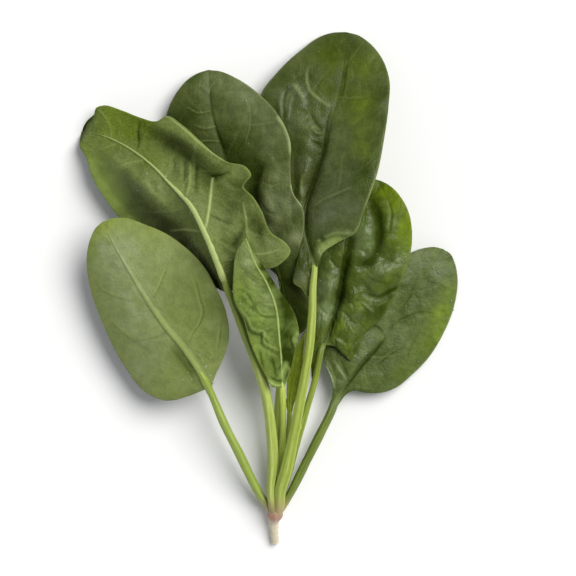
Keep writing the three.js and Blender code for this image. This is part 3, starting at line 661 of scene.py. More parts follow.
upperLeftLeaf = dict(
    common, seed=8, shows="under", topLook="curled", undersideLook="upper", fineness=1.15, swell=(1, -1),
    veins=([0.36, 0.64, 0.78], [0.43, 0.82]), ribTaper=1.2, ribShow=0.68, ribFade=0.8, veinRise=0.3,
    veinShow=0.16, neckShow=0.85, neckSpan=(0.58, 0.68), ruffle=0.2, creaseShade=0.12, cellShow=0.05,
    ribHeight=1.3, ribScale=0.76, leftFall=(0.3, 0.85), baseFade=0.75, stalkLook="light",
    midrib=[[-22.5, 110, 33], [-26.5, 121.5, 36], [-33.5, 138, 37.5], [-40.5, 151, 36], [-49.5, 160, 33],
            [-60, 170.5, 28], [-70, 178, 21], [-80.5, 183.5, 14], [-88.5, 186, 7], [-94, 186.5, -0.5]],
    leftEdge=[[-23.5, 108.5, 31], [-28.5, 111, 21], [-36, 115, 12], [-45.5, 123, 8], [-60, 134, 8],
              [-72.5, 142, 11], [-81.5, 153, 12], [-88.5, 164.5, 11.5], [-92, 175, 10], [-94.5, 179, 8],
              [-94.8, 183, 3.5], [-94, 186.5, -0.5]],
    rightEdge=[[-20.5, 108.5, 32], [-17.5, 114, 33], [-15.5, 122, 34], [-11.5, 126.5, 35], [-7.5, 123, 34.5],
               [-2.5, 120, 33], [3.5, 122.5, 34], [8, 129, 35], [6.5, 131.5, 35], [-1.5, 137.5, 35],
               [-6, 148, 35], [-10, 154.5, 35], [-14.5, 159.5, 35], [-11, 165.5, 36], [-13, 168.5, 35.5],
               [-22.5, 171.5, 34], [-29.5, 176, 32], [-34.5, 180.5, 30], [-44.5, 189.5, 24], [-52, 194, 18.5],
               [-57, 191.5, 15.5], [-65, 193.5, 13], [-74, 197, 11.5], [-83, 199.5, 10.5],
               [-86.5, 198.5, 8.5], [-87.8, 195.3, 5], [-90.6, 193, 3], [-92.6, 190.3, 1],
               [-94, 186.5, -0.5]],
    stalk=[[-1, 3.5, 9.5], [-1.5, 12.5, 11], [-0.5, 24.5, 13.5], [-1.5, 42.5, 18], [-5, 63.5, 23],
           [-9.5, 77, 27], [-15, 91, 30.5], [-19.5, 103, 32.5], [-22.5, 110, 33]],
    stalkRadii=[1.6, 2.2, 2.6, 2.6, 2.5, 2.4, 2.2, 1.95, 1.7],
    veinAndHighlightLines=[
        (0.9, 0.55, [-33, 139, -31.5, 147.5, -30.5, 155.5, -29.5, 164]),
        (0.6, 0.4, [-50, 138.5, -43, 139, -35.5, 138]),
        (0.35, 0.5, [-42.5, 154.5, -41, 159.5, -40.5, 165, -40.5, 171]),
        (0.45, 0.4, [-15, 152, -13.5, 144.5, -13, 138, -12, 133.5]),
        (0.4, 0.4, [-13.5, 127.5, -6, 127, 2.5, 129]),
        # painted highlight along the rolled edge
        (0.5, 0.35, [-52.5, 194, -45, 188.5, -37.5, 181.8, -29.3, 175.3, -22.5, 171.3]),
    ],
    folds=[
        ("ridge", 4, 4.2, [-63, 190, -52.5, 188, -43, 182, -34.5, 175, -27, 169.5]),
        ("ridge", 0.8, 0.9, [-86, 196.5, -87.5, 191, -90, 186.5, -93.8, 181]),
        ("crease", 1, 1.2, [-30.5, 164, -26, 164.5, -21, 166.5]),
        ("crease", 1, 1, [-24, 163, -19, 159.5, -13.5, 159]),
        ("ridge", 1.3, 1.6, [-42.5, 154, -40.5, 161.5, -40.5, 171.5]),
        ("ridge", 1.1, 1.4, [-46, 161.5, -45, 168, -46, 174]),
        ("ridge", 1.0, 1.4, [-51, 166, -50.5, 171, -51, 175]),
        ("ridge", 0.8, 2, [-57, 169.5, -53.5, 173.5, -50.5, 178]),
        ("crease", 1.2, 1, [-66.5, 176.5, -65.5, 181, -66, 186, -65, 192]),
        ("ridge", 0.5, 1.5, [-65, 163, -61, 159, -60, 155.5]),
        ("ridge", 0.4, 1.5, [-59, 164, -55.5, 159, -54.5, 154]),
        ("crease", 1.1, 2, [-13.5, 142.5, -16, 137.5, -18.5, 132.5, -21.5, 129]),
        ("ridge", 1.2, 2.5, [-17.5, 147.5, -21, 139.5, -24, 133]),
        ("crease", 0.6, 1.4, [-6, 141, -6.5, 135, -6, 129]),
    ],
    bumps=[(-48.5, 180.5, 6, -2), (-39.5, 173.5, 6, -2), (-57.5, 184, 5, -1.2)],
    dents=[[-52, 177, 9, 3.4], [-41.5, 168, 9, 3.4]],
    glow=[(-60, 172, 6, 0.8), (-78, 194, 12, 1.0), (-72, 188, 9, 0.7), (-85, 170, 7, 0.5), (-60, 188, 6, 0.8),
          (-68, 191, 7, 0.6), (-92, 178, 4, 0.7), (-84, 155, 6, 0.5), (-80, 148, 6, 0.4)],
    paintedSheen=[(-86, 168, 5, 0.4), (-80, 155, 6, 0.6), (-72, 146, 5, 0.5), (-55, 158, 7, 0.7), (-63, 163, 7, 0.6),
          (-17, 167, 5, 0.5), (-34, 152, 5, 0.3), (-74, 172, 6, 0.3), (-48, 150, 6, 0.4), (-23, 141, 6, 0.7),
          (-1, 129, 6, 0.85), (-45, 168, 5, 0.4)],
    shade=[(-54, 138, 4, 0.6), (-45, 130, 5, 0.9), (-37, 121, 6, 1.0), (-31, 114, 6, 1.0), (-28, 109, 4, 1.0),
           (-18, 152, 8, 0.45), (-12, 160, 6, 0.45), (-19, 133, 5, 0.45), (-7, 138, 4, 0.45),
           (-27, 160, 6, 0.25), (-22, 145, 6, 0.2), (-70, 194, 8, 0.2), (-60, 190, 6, 0.2),
           (-70, 152, 6, 0.2), (-70, 185, 8, 0.2), (-48, 165, 6, 0.2), (-9, 143, 4, 0.5),
           (-28, 165.5, 4, 0.6), (-60, 172, 6, 0.25), (-64, 183, 6, 0.1)],
    shadeLines=[
        (1.0, 1.9, [-87.9, 195.6, -91.5, 191.8, -94, 187, -95.3, 181.8]),
        (0.6, 5, [-62, 184.5, -51, 181, -43, 176.5, -36, 169, -30, 160]),
        (0.5, 3.4, [-74, 168, -67.5, 158, -60, 149.5, -50, 142, -40, 134]),
        (0.5, 0.6, [-66.5, 177, -65.5, 181, -66, 186, -65, 192]),
        (0.5, 0.8, [-43, 160, -43, 166, -43, 172]),
        (0.4, 0.8, [-48, 166, -48, 170, -48.5, 174]),
        (0.5, 0.8, [-37.5, 156, -37.5, 164, -37, 170]),
        (0.5, 0.5, [-30.5, 164.5, -26, 165, -21, 167]),
        (0.35, 1.8, [-13, 142, -16, 136.5, -20, 130]),
        (0.3, 1.5, [-6.5, 141, -7, 135, -6.5, 129]),
        (0.4, 0.5, [-33, 147, -25, 143, -19, 141]),
    ],
    pale=[(-88, 172, 5, 0.6), (-82, 162, 6, 0.9), (-77, 152, 5.5, 0.8), (-70, 144, 4, 0.5)],
)

lowerLeftLeaf = dict(
    common, seed=5, shows="under", topLook="broad", undersideLook="upper", swell=(2.5, 1),
    veins=([0.3, 0.64, 0.8], [0.54, 0.84]), ribTaper=1.1, ribShow=0.7, ribFade=1.2, veinWidth=0.35,
    veinRise=0.12, veinShow=0.15, cellShow=0.04, quilt=0.25, puff=0.08, wave=0.3, crumple=0.1, ruffle=0.2,
    neckShow=0.1, stalkLook="middle", ribHeight=0.6, crinkle=0.04,
    midrib=[[-32, 62.5, 19], [-36.5, 71, 22], [-44, 82, 24.5], [-52.5, 92, 26], [-61.5, 105, 27],
            [-69, 117, 27], [-76, 129, 26], [-83, 142.5, 23]],
    leftEdge=[[-33.5, 61.5, 18], [-40.5, 58.5, 17], [-53, 56, 15], [-62.5, 60, 14], [-73, 73, 13],
              [-83, 92.5, 14], [-89, 109.5, 15], [-91, 123, 17], [-89, 134.5, 20], [-86.5, 139.5, 21.5],
              [-83, 142.5, 23]],
    rightEdge=[[-30, 63, 19], [-29, 67, 19.5], [-25, 75.5, 21], [-22, 85.5, 23], [-23.5, 100, 27],
               [-28, 110.5, 28.5], [-33.5, 120.5, 28], [-42, 129.5, 27], [-52.5, 137, 26], [-63, 141.5, 25],
               [-72, 144.5, 24], [-78.5, 144.3, 23.5], [-83, 142.5, 23]],
    stalk=[[-2.5, 3.5, 6.5], [-6.5, 9, 7.5], [-11, 17.5, 10], [-16.5, 29, 13], [-24, 44, 16],
           [-32, 62.5, 19]],
    stalkRadii=[1.7, 2, 2.2, 2.2, 2.1, 1.9],
    veinAndHighlightLines=[
        (0.25, 0.45, [-42.5, 83, -40.5, 88, -36.5, 94, -35, 98.5, -36.5, 105, -37.5, 109.5, -39.5, 115.5]),
        (0.4, 0.4, [-58.5, 107, -55.5, 113, -52.5, 120.5]),
        (0.4, 0.4, [-79.5, 96, -74.5, 91, -71.5, 89, -68.5, 85.5]),
        (0.3, 0.4, [-68.5, 85.5, -62.5, 86.5, -56.5, 87.5]),
        (0.3, 0.4, [-87, 117, -83.5, 110.5, -77, 107.5, -67.5, 105]),
        (0.3, 0.4, [-28, 80.5, -27, 88, -26.5, 92.5]),
        (0.3, 0.4, [-63.5, 73, -60, 70, -55.5, 68, -45.5, 67]),
    ],
    folds=[
        ("crease", 1.2, 3, [-51.5, 83, -45.5, 75.5, -40.5, 68.5, -38, 62]),
        ("ridge", 0.5, 1.5, [-42.5, 83, -36.5, 94, -35, 98.5, -37.5, 109.5]),
        ("crease", 0.4, 1, [-69.5, 85, -60, 79.5, -56.5, 78.5]),
    ],
    glow=[(-60, 136, 8, 0.4), (-87, 136.5, 7, 0.8), (-82, 141, 7, 0.7), (-90, 126.5, 6, 0.7),
          (-89, 112, 5, 0.3), (-72, 143, 5, 0.4), (-75, 105, 14, 0.3)],
    paintedSheen=[(-64, 71, 7, 0.4), (-80, 124, 7, 0.5), (-82, 132, 6, 0.45), (-70, 108, 13, 0.85),
          (-74, 128, 10, 0.9), (-58, 82, 9, 0.45), (-56, 126, 8, 0.2), (-66, 92, 9, 0.5)],
    shade=[(-41.5, 72, 5, 0.5), (-47, 79, 6, 0.45), (-30, 100, 7, 0.5), (-27, 87, 6, 0.35), (-38, 60, 4, 0.3),
           (-43, 113, 11, 0.4), (-36, 122, 7, 0.2), (-33, 108, 8, 0.2)],
    shadeLines=[
        (0.7, 0.5, [-41.5, 83, -39.5, 88, -35.5, 94, -34, 98.5, -35.5, 105, -36.5, 109.5, -38.5, 115.5]),
        (0.6, 0.4, [-79.5, 95, -74.5, 90, -70, 86.5, -67.5, 84.5]),
        (0.5, 0.4, [-58, 106, -54.5, 113, -51.5, 120.5]),
        (0.5, 0.4, [-87, 116, -83.5, 109.5, -77, 106.5, -67.5, 104]),
        (0.45, 0.45, [-68, 85, -62, 86, -54, 88, -51, 91]),
        (0.5, 0.4, [-27, 80.5, -26, 88, -25.5, 95]),
    ],
)

lowerRightLeaf = dict(
    common, seed=13, stalkLook="dark", topLook="spread", swell=(2, 0.5),
    veins=([0.24, 0.52, 0.8], [0.32, 0.46, 0.74, 0.86]), veinShow=0.2, crumple=0.2, ribFade=8, quilt=0.3,
    neckShow=0.9, crinkle=0.2, crinkleSize=7, rimShow=0.25,
    midrib=[[28.5, 52, 8.5], [36, 64, 9.5], [42, 72.5, 9.5], [48.5, 81, 9], [56.5, 92, 8.5], [66.5, 105, 7.5],
            [75.5, 118.5, 5.5], [82.5, 129.5, 3.5]],
    leftEdge=[[27.2, 52.2, 8.5], [28.5, 61, 10], [27, 67.5, 11.5], [24.5, 75, 12], [25.5, 85.5, 11.5],
              [32.5, 98, 10.5], [43, 110, 10], [55.5, 121, 9.5], [66, 127.5, 8], [73, 130, 6],
              [78.5, 130.5, 4.5], [82.5, 129.5, 3.5]],
    rightEdge=[[30, 51.6, 8.5], [32, 54.6, 8.5], [35.5, 59, 8], [38.5, 60.5, 8], [45, 59.5, 7.5],
               [52, 59.5, 6.5], [59.5, 62, 5.5], [67, 68, 4], [74.5, 75.5, 3], [82.5, 88, 2], [88, 102, 1.5],
               [89.5, 116.5, 1.5], [88, 123.5, 1], [86, 127.3, 2.5], [82.5, 129.5, 3.5]],
    stalk=[[4, 3.5, 6], [8.5, 11.5, 6], [16.5, 27.5, 6.5], [23, 40.5, 7.5], [28.5, 52, 8.5]],
    stalkRadii=[1.6, 1.9, 2.1, 2.1, 2],
    veinAndHighlightLines=[
        (0.3, 0.4, [63.5, 83, 57, 79.5, 50.5, 74.5]),
        (0.25, 0.4, [63.5, 80.5, 65.5, 74.5]),
        # painted highlight along the curled left edge
        (1.0, 0.5, [23.3, 77, 27, 73, 29.3, 67.5, 30, 60.5]),
        (0.8, 0.45, [29, 76, 32, 71.5, 35, 66]),
        (0.5, 0.4, [55, 88, 51.5, 92.5, 47, 94]),
    ],
    folds=[
        ("crease", 0.9, 1, [54, 86.5, 49, 80.5, 42.5, 73.5, 37, 66]),
        ("ledge", 1.6, 5, [36, 65, 42, 73.5, 48.5, 80.5, 54.5, 88]),
        ("ledge", -1.2, 4.5, [54.5, 87, 50, 92.5, 43, 93]),
        ("crease", 0.8, 0.8, [32, 75, 34.5, 70, 37, 65]),
        ("crease", 0.4, 1, [63.5, 83, 57, 79.5, 50.5, 74.5]),
    ],
    bumps=[(80.5, 114.5, 8, 0.8)],
    glow=[(84, 98, 7, 1.0), (75.5, 80.5, 7, 0.7), (86, 110, 5, 0.8), (80, 90, 7, 0.9), (64, 69, 7, 0.5)],
    paintedSheen=[(88, 112, 3, 0.4), (55, 100, 4, 0.3), (73, 124, 5, 0.4), (56, 92, 3, 0.4), (48, 84, 4, 0.4),
          (43, 77, 4, 0.35), (80, 118, 7, 0.5), (68, 118, 6, 0.3), (62, 84, 6, 0.3), (32, 66, 3, 0.4)],
    shade=[(73, 107, 6, 0.15), (76, 81, 6, 0.35), (66, 98, 6, 0.1), (38, 58.5, 4, 0.4), (60, 69, 7, 0.4),
           (34, 70, 4, 0.4), (51.5, 77, 5, 0.5), (78, 112, 4, 0.1)],
    shadeLines=[
        (1.0, 0.7, [31, 56, 36.5, 64, 42.5, 72, 49, 79.5, 54.5, 86.5]),
        (0.5, 0.5, [64, 82.5, 57, 78.5, 50.5, 73.5]),
        (0.4, 0.5, [70, 88, 66, 80, 64, 73]),
        (0.5, 0.5, [56, 91, 63, 96, 72, 99, 80, 98]),
        (0.4, 0.5, [60, 97, 66, 106, 70, 116]),
        (0.4, 0.5, [74, 114, 79, 113, 85, 110]),
        (0.6, 0.6, [31, 74, 33.5, 69.5, 36.5, 65]),
        (0.5, 0.5, [63, 121, 60, 113, 58, 106]),
    ],
    # painted highlights along the curled left edge
    highlightLines=[
        (0.95, 0.5, [24.2, 74.6, 26.6, 70.5, 28.4, 66.2, 29.4, 61.5]),
        (0.6, 0.35, [25.3, 75.8, 27.6, 72, 29.2, 68]),
        (0.35, 0.6, [30.5, 73, 33, 69.5, 35.5, 65.5]),
    ],
)

crinkledLeaf = dict(
    common, seed=21, topLook="glossy", swell=(2, 2),
    veins=([0.08, 0.24, 0.4, 0.56, 0.72], [0.04, 0.2, 0.37, 0.53, 0.69, 0.84]), veinShow=0.12, cellShow=0.03,
    cellSize=5.5, quilt=0.4, wave=0.5, crumple=0.3, ruffle=0.4, ruffleLength=17, groove=0.8, neckShow=0.9,
    creaseShade=0.25, stalkRun=0.5, crinkle=0.5, crinkleSize=8, baseFade=0.9, ribFade=9, stalkLook="green",
    midrib=[[24.5, 83, 17], [27.5, 92.5, 17.5], [30.5, 103.5, 18], [32.5, 114.5, 19.5], [34.5, 126.5, 20],
            [36.5, 138.5, 20], [40, 151.5, 19], [44.5, 163.5, 17]],
    leftEdge=[[23.5, 83, 17], [21.8, 76, 16], [20.6, 70, 15.2], [18.8, 65.5, 14.8], [18, 74, 15.2],
              [17.8, 84, 15.6], [17.5, 95, 16], [17.5, 107, 16.5], [18.5, 121.5, 17], [21, 135.5, 17],
              [25.5, 149.5, 17], [34, 160, 16], [44.5, 163.5, 17]],
    rightEdge=[[26, 83, 17], [30, 82, 15.5], [33.5, 78.5, 15], [37.5, 75.5, 14], [40.5, 80, 14], [44, 88, 14],
               [52, 95.5, 14], [57, 103.5, 14.5], [64, 119.5, 16], [67, 133.5, 17], [64.5, 149.5, 18],
               [56.5, 160, 18.5], [50.5, 163, 18], [44.5, 163.5, 17]],
    stalk=[[2, 3.5, 3], [6.5, 17.5, 5], [11, 34.5, 9], [15.5, 50.5, 12.5], [20, 66, 15], [24.5, 83, 17]],
    stalkRadii=[1.4, 1.6, 1.7, 1.65, 1.6, 1.5],
    veinAndHighlightLines=[
        (0.6, 0.5, [55, 153.5, 56.5, 146.5, 55.5, 138.5]),
        (0.6, 0.4, [42.5, 104, 45.5, 101, 48.5, 99]),
        (0.4, 0.4, [50, 102, 55, 104.5]),
        (0.4, 0.4, [36, 94, 38, 90, 40.5, 88.5]),
        (0.5, 0.4, [29, 87, 32, 84.5, 35, 82.5]),
    ],
    folds=[
        ("ridge", -2.2, 2.2, [47, 154, 50.5, 143.5, 50.5, 132.5, 46.5, 123.5, 40, 120.5]),
        ("ridge", 1.5, 4.5, [43.5, 142.5, 44, 136, 43.5, 129]),
        ("ridge", -2.5, 2, [38, 135.5, 35.5, 125, 33.5, 114.5, 31, 102.5, 27.5, 91, 24.5, 83]),
        ("ridge", 1.2, 4, [57, 146, 58, 138.5, 57, 131.5]),
        ("crease", 0.6, 0.8, [55, 153.5, 56.5, 146.5, 55.5, 138.5]),
        ("ridge", 1.5, 4, [62, 123, 54, 118.5, 45.5, 110.5]),
        ("ridge", -1.2, 1.5, [63.5, 112, 57, 109.5, 50.5, 106.5, 42.5, 108.5]),
        ("crease", 0.8, 0.8, [39.5, 112, 40.5, 106, 37, 103, 34.5, 105]),
        ("ridge", 0.8, 0.6, [42.5, 104, 45.5, 101, 48.5, 99]),
        ("ridge", 0.6, 0.8, [36, 94, 38, 90, 40.5, 88.5]),
        ("ridge", 0.6, 0.8, [29, 87, 32, 84.5, 35, 82.5]),
        ("ridge", -1.2, 2, [37, 83, 44, 88, 54, 96]),
        ("ridge", 0.9, 2.5, [24.5, 119.5, 26, 109.5, 24.5, 100]),
        ("crease", 1, 1, [27, 125.5, 30, 121, 34, 118]),
        ("crease", 0.6, 0.8, [21.5, 102.5, 24, 99, 27, 96]),
    ],
    bumps=[(42.5, 126, 1.6, 0.7), (46, 129, 1.3, 0.6), (35.5, 89, 3, 1.1), (40.5, 97.5, 4, 1.2),
           (38, 107, 3, 1), (27, 109.5, 3, 0.8), (24.5, 95, 3.5, 0.8)],
    dents=[[31.5, 105, 4, 2], [45, 112, 5, 1.5], [53, 126, 5, 1.5], [40, 96, 4, 1.2]],
    glow=[(61, 153.5, 8, 0.9), (65, 134, 7, 1.0), (48, 90, 5, 0.5), (42, 102, 4, 0.5), (55, 113, 4, 0.4),
          (64, 146, 5, 0.5), (54, 157, 6, 0.9), (32, 92.5, 3, 0.5), (32, 99, 3, 0.5), (38, 83, 4, 0.4),
          (63, 143, 5, 0.5)],
    paintedSheen=[(43, 137, 5, 0.8), (43, 130, 4, 0.7), (25, 110, 6, 1.0), (23, 98, 5, 1.0), (29, 100, 4, 0.6),
          (54, 121, 4, 0.45), (62, 124, 3.5, 0.45), (40.5, 97, 3, 0.5), (48, 116, 4, 0.5), (28, 118, 4, 0.5),
          (24, 128, 4, 0.5), (47, 104, 4, 0.5)],
    shade=[(53.5, 159, 5, 0.4), (42, 80.5, 4, 0.6), (19.5, 70, 4, 0.8), (53, 101, 4, 0.4), (50, 147, 4, 0.6),
           (32, 108, 4, 0.8), (46, 154, 5, 0.6), (51, 136, 3, 0.6), (46, 123, 3, 0.6), (35, 124, 4, 0.5),
           (37, 133, 4, 0.5), (50, 99, 5, 0.5), (56, 107, 4, 0.4)],
    shadeLines=[
        (0.8, 1.2, [38, 136, 35.5, 125, 33.3, 114.5, 30.8, 102.5, 27.3, 91, 25, 84]),
        (0.45, 1.6, [48, 154, 50.8, 144, 50.8, 132.5, 46.5, 123.5, 40, 120.5]),
        (0.6, 0.9, [63.5, 112, 57, 109.5, 50.5, 106.5, 42.5, 108.5]),
        (0.5, 0.5, [56, 153, 57.5, 146.5, 56.5, 138.5]),
        (0.5, 0.7, [53, 127, 57, 124, 62, 128]),
        (0.5, 0.7, [44, 117, 50, 114, 56, 113]),
    ],
)

topLeftLeaf = dict(
    common, seed=34, topLook="shady", swell=(3, 1.5), veins=([0.58, 0.81], [0.42, 0.67, 0.88]), veinShow=0.14,
    ribFade=9, quilt=0.15, groove=0.1, wave=0.3, crumple=0.15, crinkle=0.07, rimShow=0.25,
    midrib=[[8, 88.5, 14], [6.5, 100, 18], [4.5, 110.5, 21.5], [1, 123, 24], [-5.5, 135, 23.5],
            [-14, 151.5, 21.5], [-22.5, 169.5, 18.5], [-27, 184, 15.5], [-30.5, 200.5, 11],
            [-32, 216.8, 6.5]],
    leftEdge=[[7.5, 87.5, 14], [4.5, 99, 17], [3, 109, 19], [2.5, 115.5, 20], [-3, 120.5, 17],
              [-16.5, 128, 11], [-30, 142.5, 8], [-41.5, 159, 6.5], [-51.5, 177.5, 6], [-53, 192, 6.5],
              [-48, 205, 7.5], [-41, 213, 7], [-37, 215.3, 6.8], [-32, 216.8, 6.5]],
    rightEdge=[[9.5, 87.5, 14], [14.5, 89.5, 16], [16.8, 97.5, 18], [17, 105.5, 19], [14, 112, 20],
               [11.3, 117.5, 21.5], [10.8, 121.5, 24], [12.5, 130.5, 29], [14.5, 139.5, 30], [14, 149, 30],
               [9.5, 156, 29.5], [8, 169, 28], [8, 181, 27], [3, 193, 23], [-7, 204.5, 16.5],
               [-18, 212.5, 10.5], [-27, 216.3, 7.5], [-32, 216.8, 6.5]],
    stalk=[[-1, 3.5, 3], [0, 17.5, 4], [1, 34.5, 5.5], [2, 51.5, 7.5], [3.5, 68.5, 10], [6, 80.5, 12],
           [8, 88.5, 14]],
    stalkRadii=[1.4, 1.7, 1.9, 1.9, 1.8, 1.7, 1.5],
    veinAndHighlightLines=[
        (0.6, 0.4, [-13.5, 202.5, -11.5, 195.5, -12, 187, -14, 181.5]),
        (0.6, 0.35, [-31.5, 205, -33.5, 208, -37, 210.5]),
        (0.55, 0.35, [-30.5, 197, -37, 196, -42.5, 199]),
        (0.5, 0.35, [-27.5, 189.5, -33, 188.3, -39, 190]),
        (0.5, 0.35, [-26, 182, -33, 182.3, -39, 181]),
        (0.6, 0.35, [-32, 205.5, -30.5, 209, -28, 212]),
        (0.5, 0.35, [-12, 189.5, -6, 190, 1, 191]),
        (0.5, 0.35, [-5.5, 162, -2, 160, 3, 161]),
        (0.5, 0.35, [-6, 151, -3, 147, 1, 145.5]),
        # painted highlight along the right edge
        (1.0, 0.7, [1.5, 193.5, 5.5, 188, 7.5, 182.5, 8, 175]),
    ],
    folds=[
        ("crease", 0.8, 1, [-29.5, 192, -26.5, 183.5, -22.5, 173.5]),
        ("crease", 0.7, 1, [-12, 196, -12, 187, -14.5, 181, -17.5, 177.5]),
        ("crease", 0.5, 0.8, [-30.5, 197, -37, 196, -42.5, 199]),
        ("crease", 0.5, 0.8, [-27, 182, -33.5, 182.5, -38, 181]),
        ("crease", 0.5, 0.8, [-12, 189.5, -6, 190, 1, 191]),
        ("step", 1.6, 3, [-5, 172.5, -6, 164, -8, 155.5, -6, 148.5, -1, 141]),
        ("ridge", 0.8, 1, [-4.5, 170, -6, 163, -7.5, 156.5]),
        ("crease", 0.7, 0.8, [-5.5, 162, -2, 160, 3, 161]),
        ("crease", 0.7, 0.8, [-6, 151, -3, 147, 1, 145.5]),
        ("crease", 0.8, 1.5, [8.5, 158, 8.5, 150, 9, 141]),
        ("ridge", 0.8, 5, [-20.5, 206.5, -18.5, 197, -19.5, 187]),
        ("ridge", 0.8, 6, [-4.5, 202, -1, 189.5, 0.5, 177.5]),
        ("crease", 0.3, 0.8, [-0.5, 188, 0.5, 181.5, -1, 174.5]),
    ],
    glow=[(-22, 205, 6, 0.3)],
    paintedSheen=[(-30, 211, 6, 0.5), (-18, 204, 7, 0.4), (-16, 212, 6, 0.4), (-2, 178, 6, 0.3), (1, 152, 7, 1.0),
          (3, 165, 5, 0.5), (0, 141, 5, 0.6), (10, 134, 4, 0.8), (-8, 200, 8, 0.4), (0, 186, 7, 0.4),
          (-22, 210, 5, 0.3), (10, 150, 4, 0.5), (-12, 206, 7, 0.5), (-4, 195, 7, 0.4)],
    shade=[(14, 94, 5, 0.6), (8, 100, 12, 1.0), (4, 116, 8, 0.8), (-16, 170, 8, 0.9), (-22, 180, 6, 0.5),
           (-42, 195, 9, 0.7), (-35, 182, 8, 0.55), (-9, 155, 4, 0.7), (-8, 168, 5, 0.4), (-48, 188, 6, 0.3)],
    shadeLines=[
        (0.8, 0.6, [-31.5, 212, -30.8, 202, -28.5, 190, -25, 179, -20, 169, -16, 163]),
        (0.5, 0.5, [-12.8, 196, -12.8, 187, -15, 181, -18, 177]),
        (0.5, 0.4, [-30.8, 196, -37, 195, -42.5, 198]),
        (0.5, 0.4, [-28, 188.5, -33, 187.3, -39, 189]),
        (0.5, 0.4, [-26, 181, -33, 181.3, -39, 180]),
        (0.4, 0.4, [-32, 205, -34, 208.5, -38, 211]),
        (0.4, 0.4, [-12, 188.5, -6, 189, 2, 190]),
        (0.6, 0.8, [-4, 172, -7, 163, -8.5, 155, -6, 148]),
        (0.5, 0.5, [-5.5, 161, -2, 159, 3, 160]),
        (0.5, 0.5, [-6, 150, -3, 146, 1, 144.5]),
        (0.4, 0.4, [0, 174, 4, 172, 7, 174]),
        (0.4, 0.4, [-0.5, 170, 2, 166, 6, 165]),
    ],
    pale=[(10.5, 135, 3, 0.25)],
    # painted highlights along the right edge
    highlightLines=[
        (0.9, 0.6, [1.2, 193.6, 4.6, 190, 7.2, 184.2, 8.1, 176]),
        (0.8, 0.5, [8, 161, 9.8, 156.6, 13.8, 150]),
    ],
)

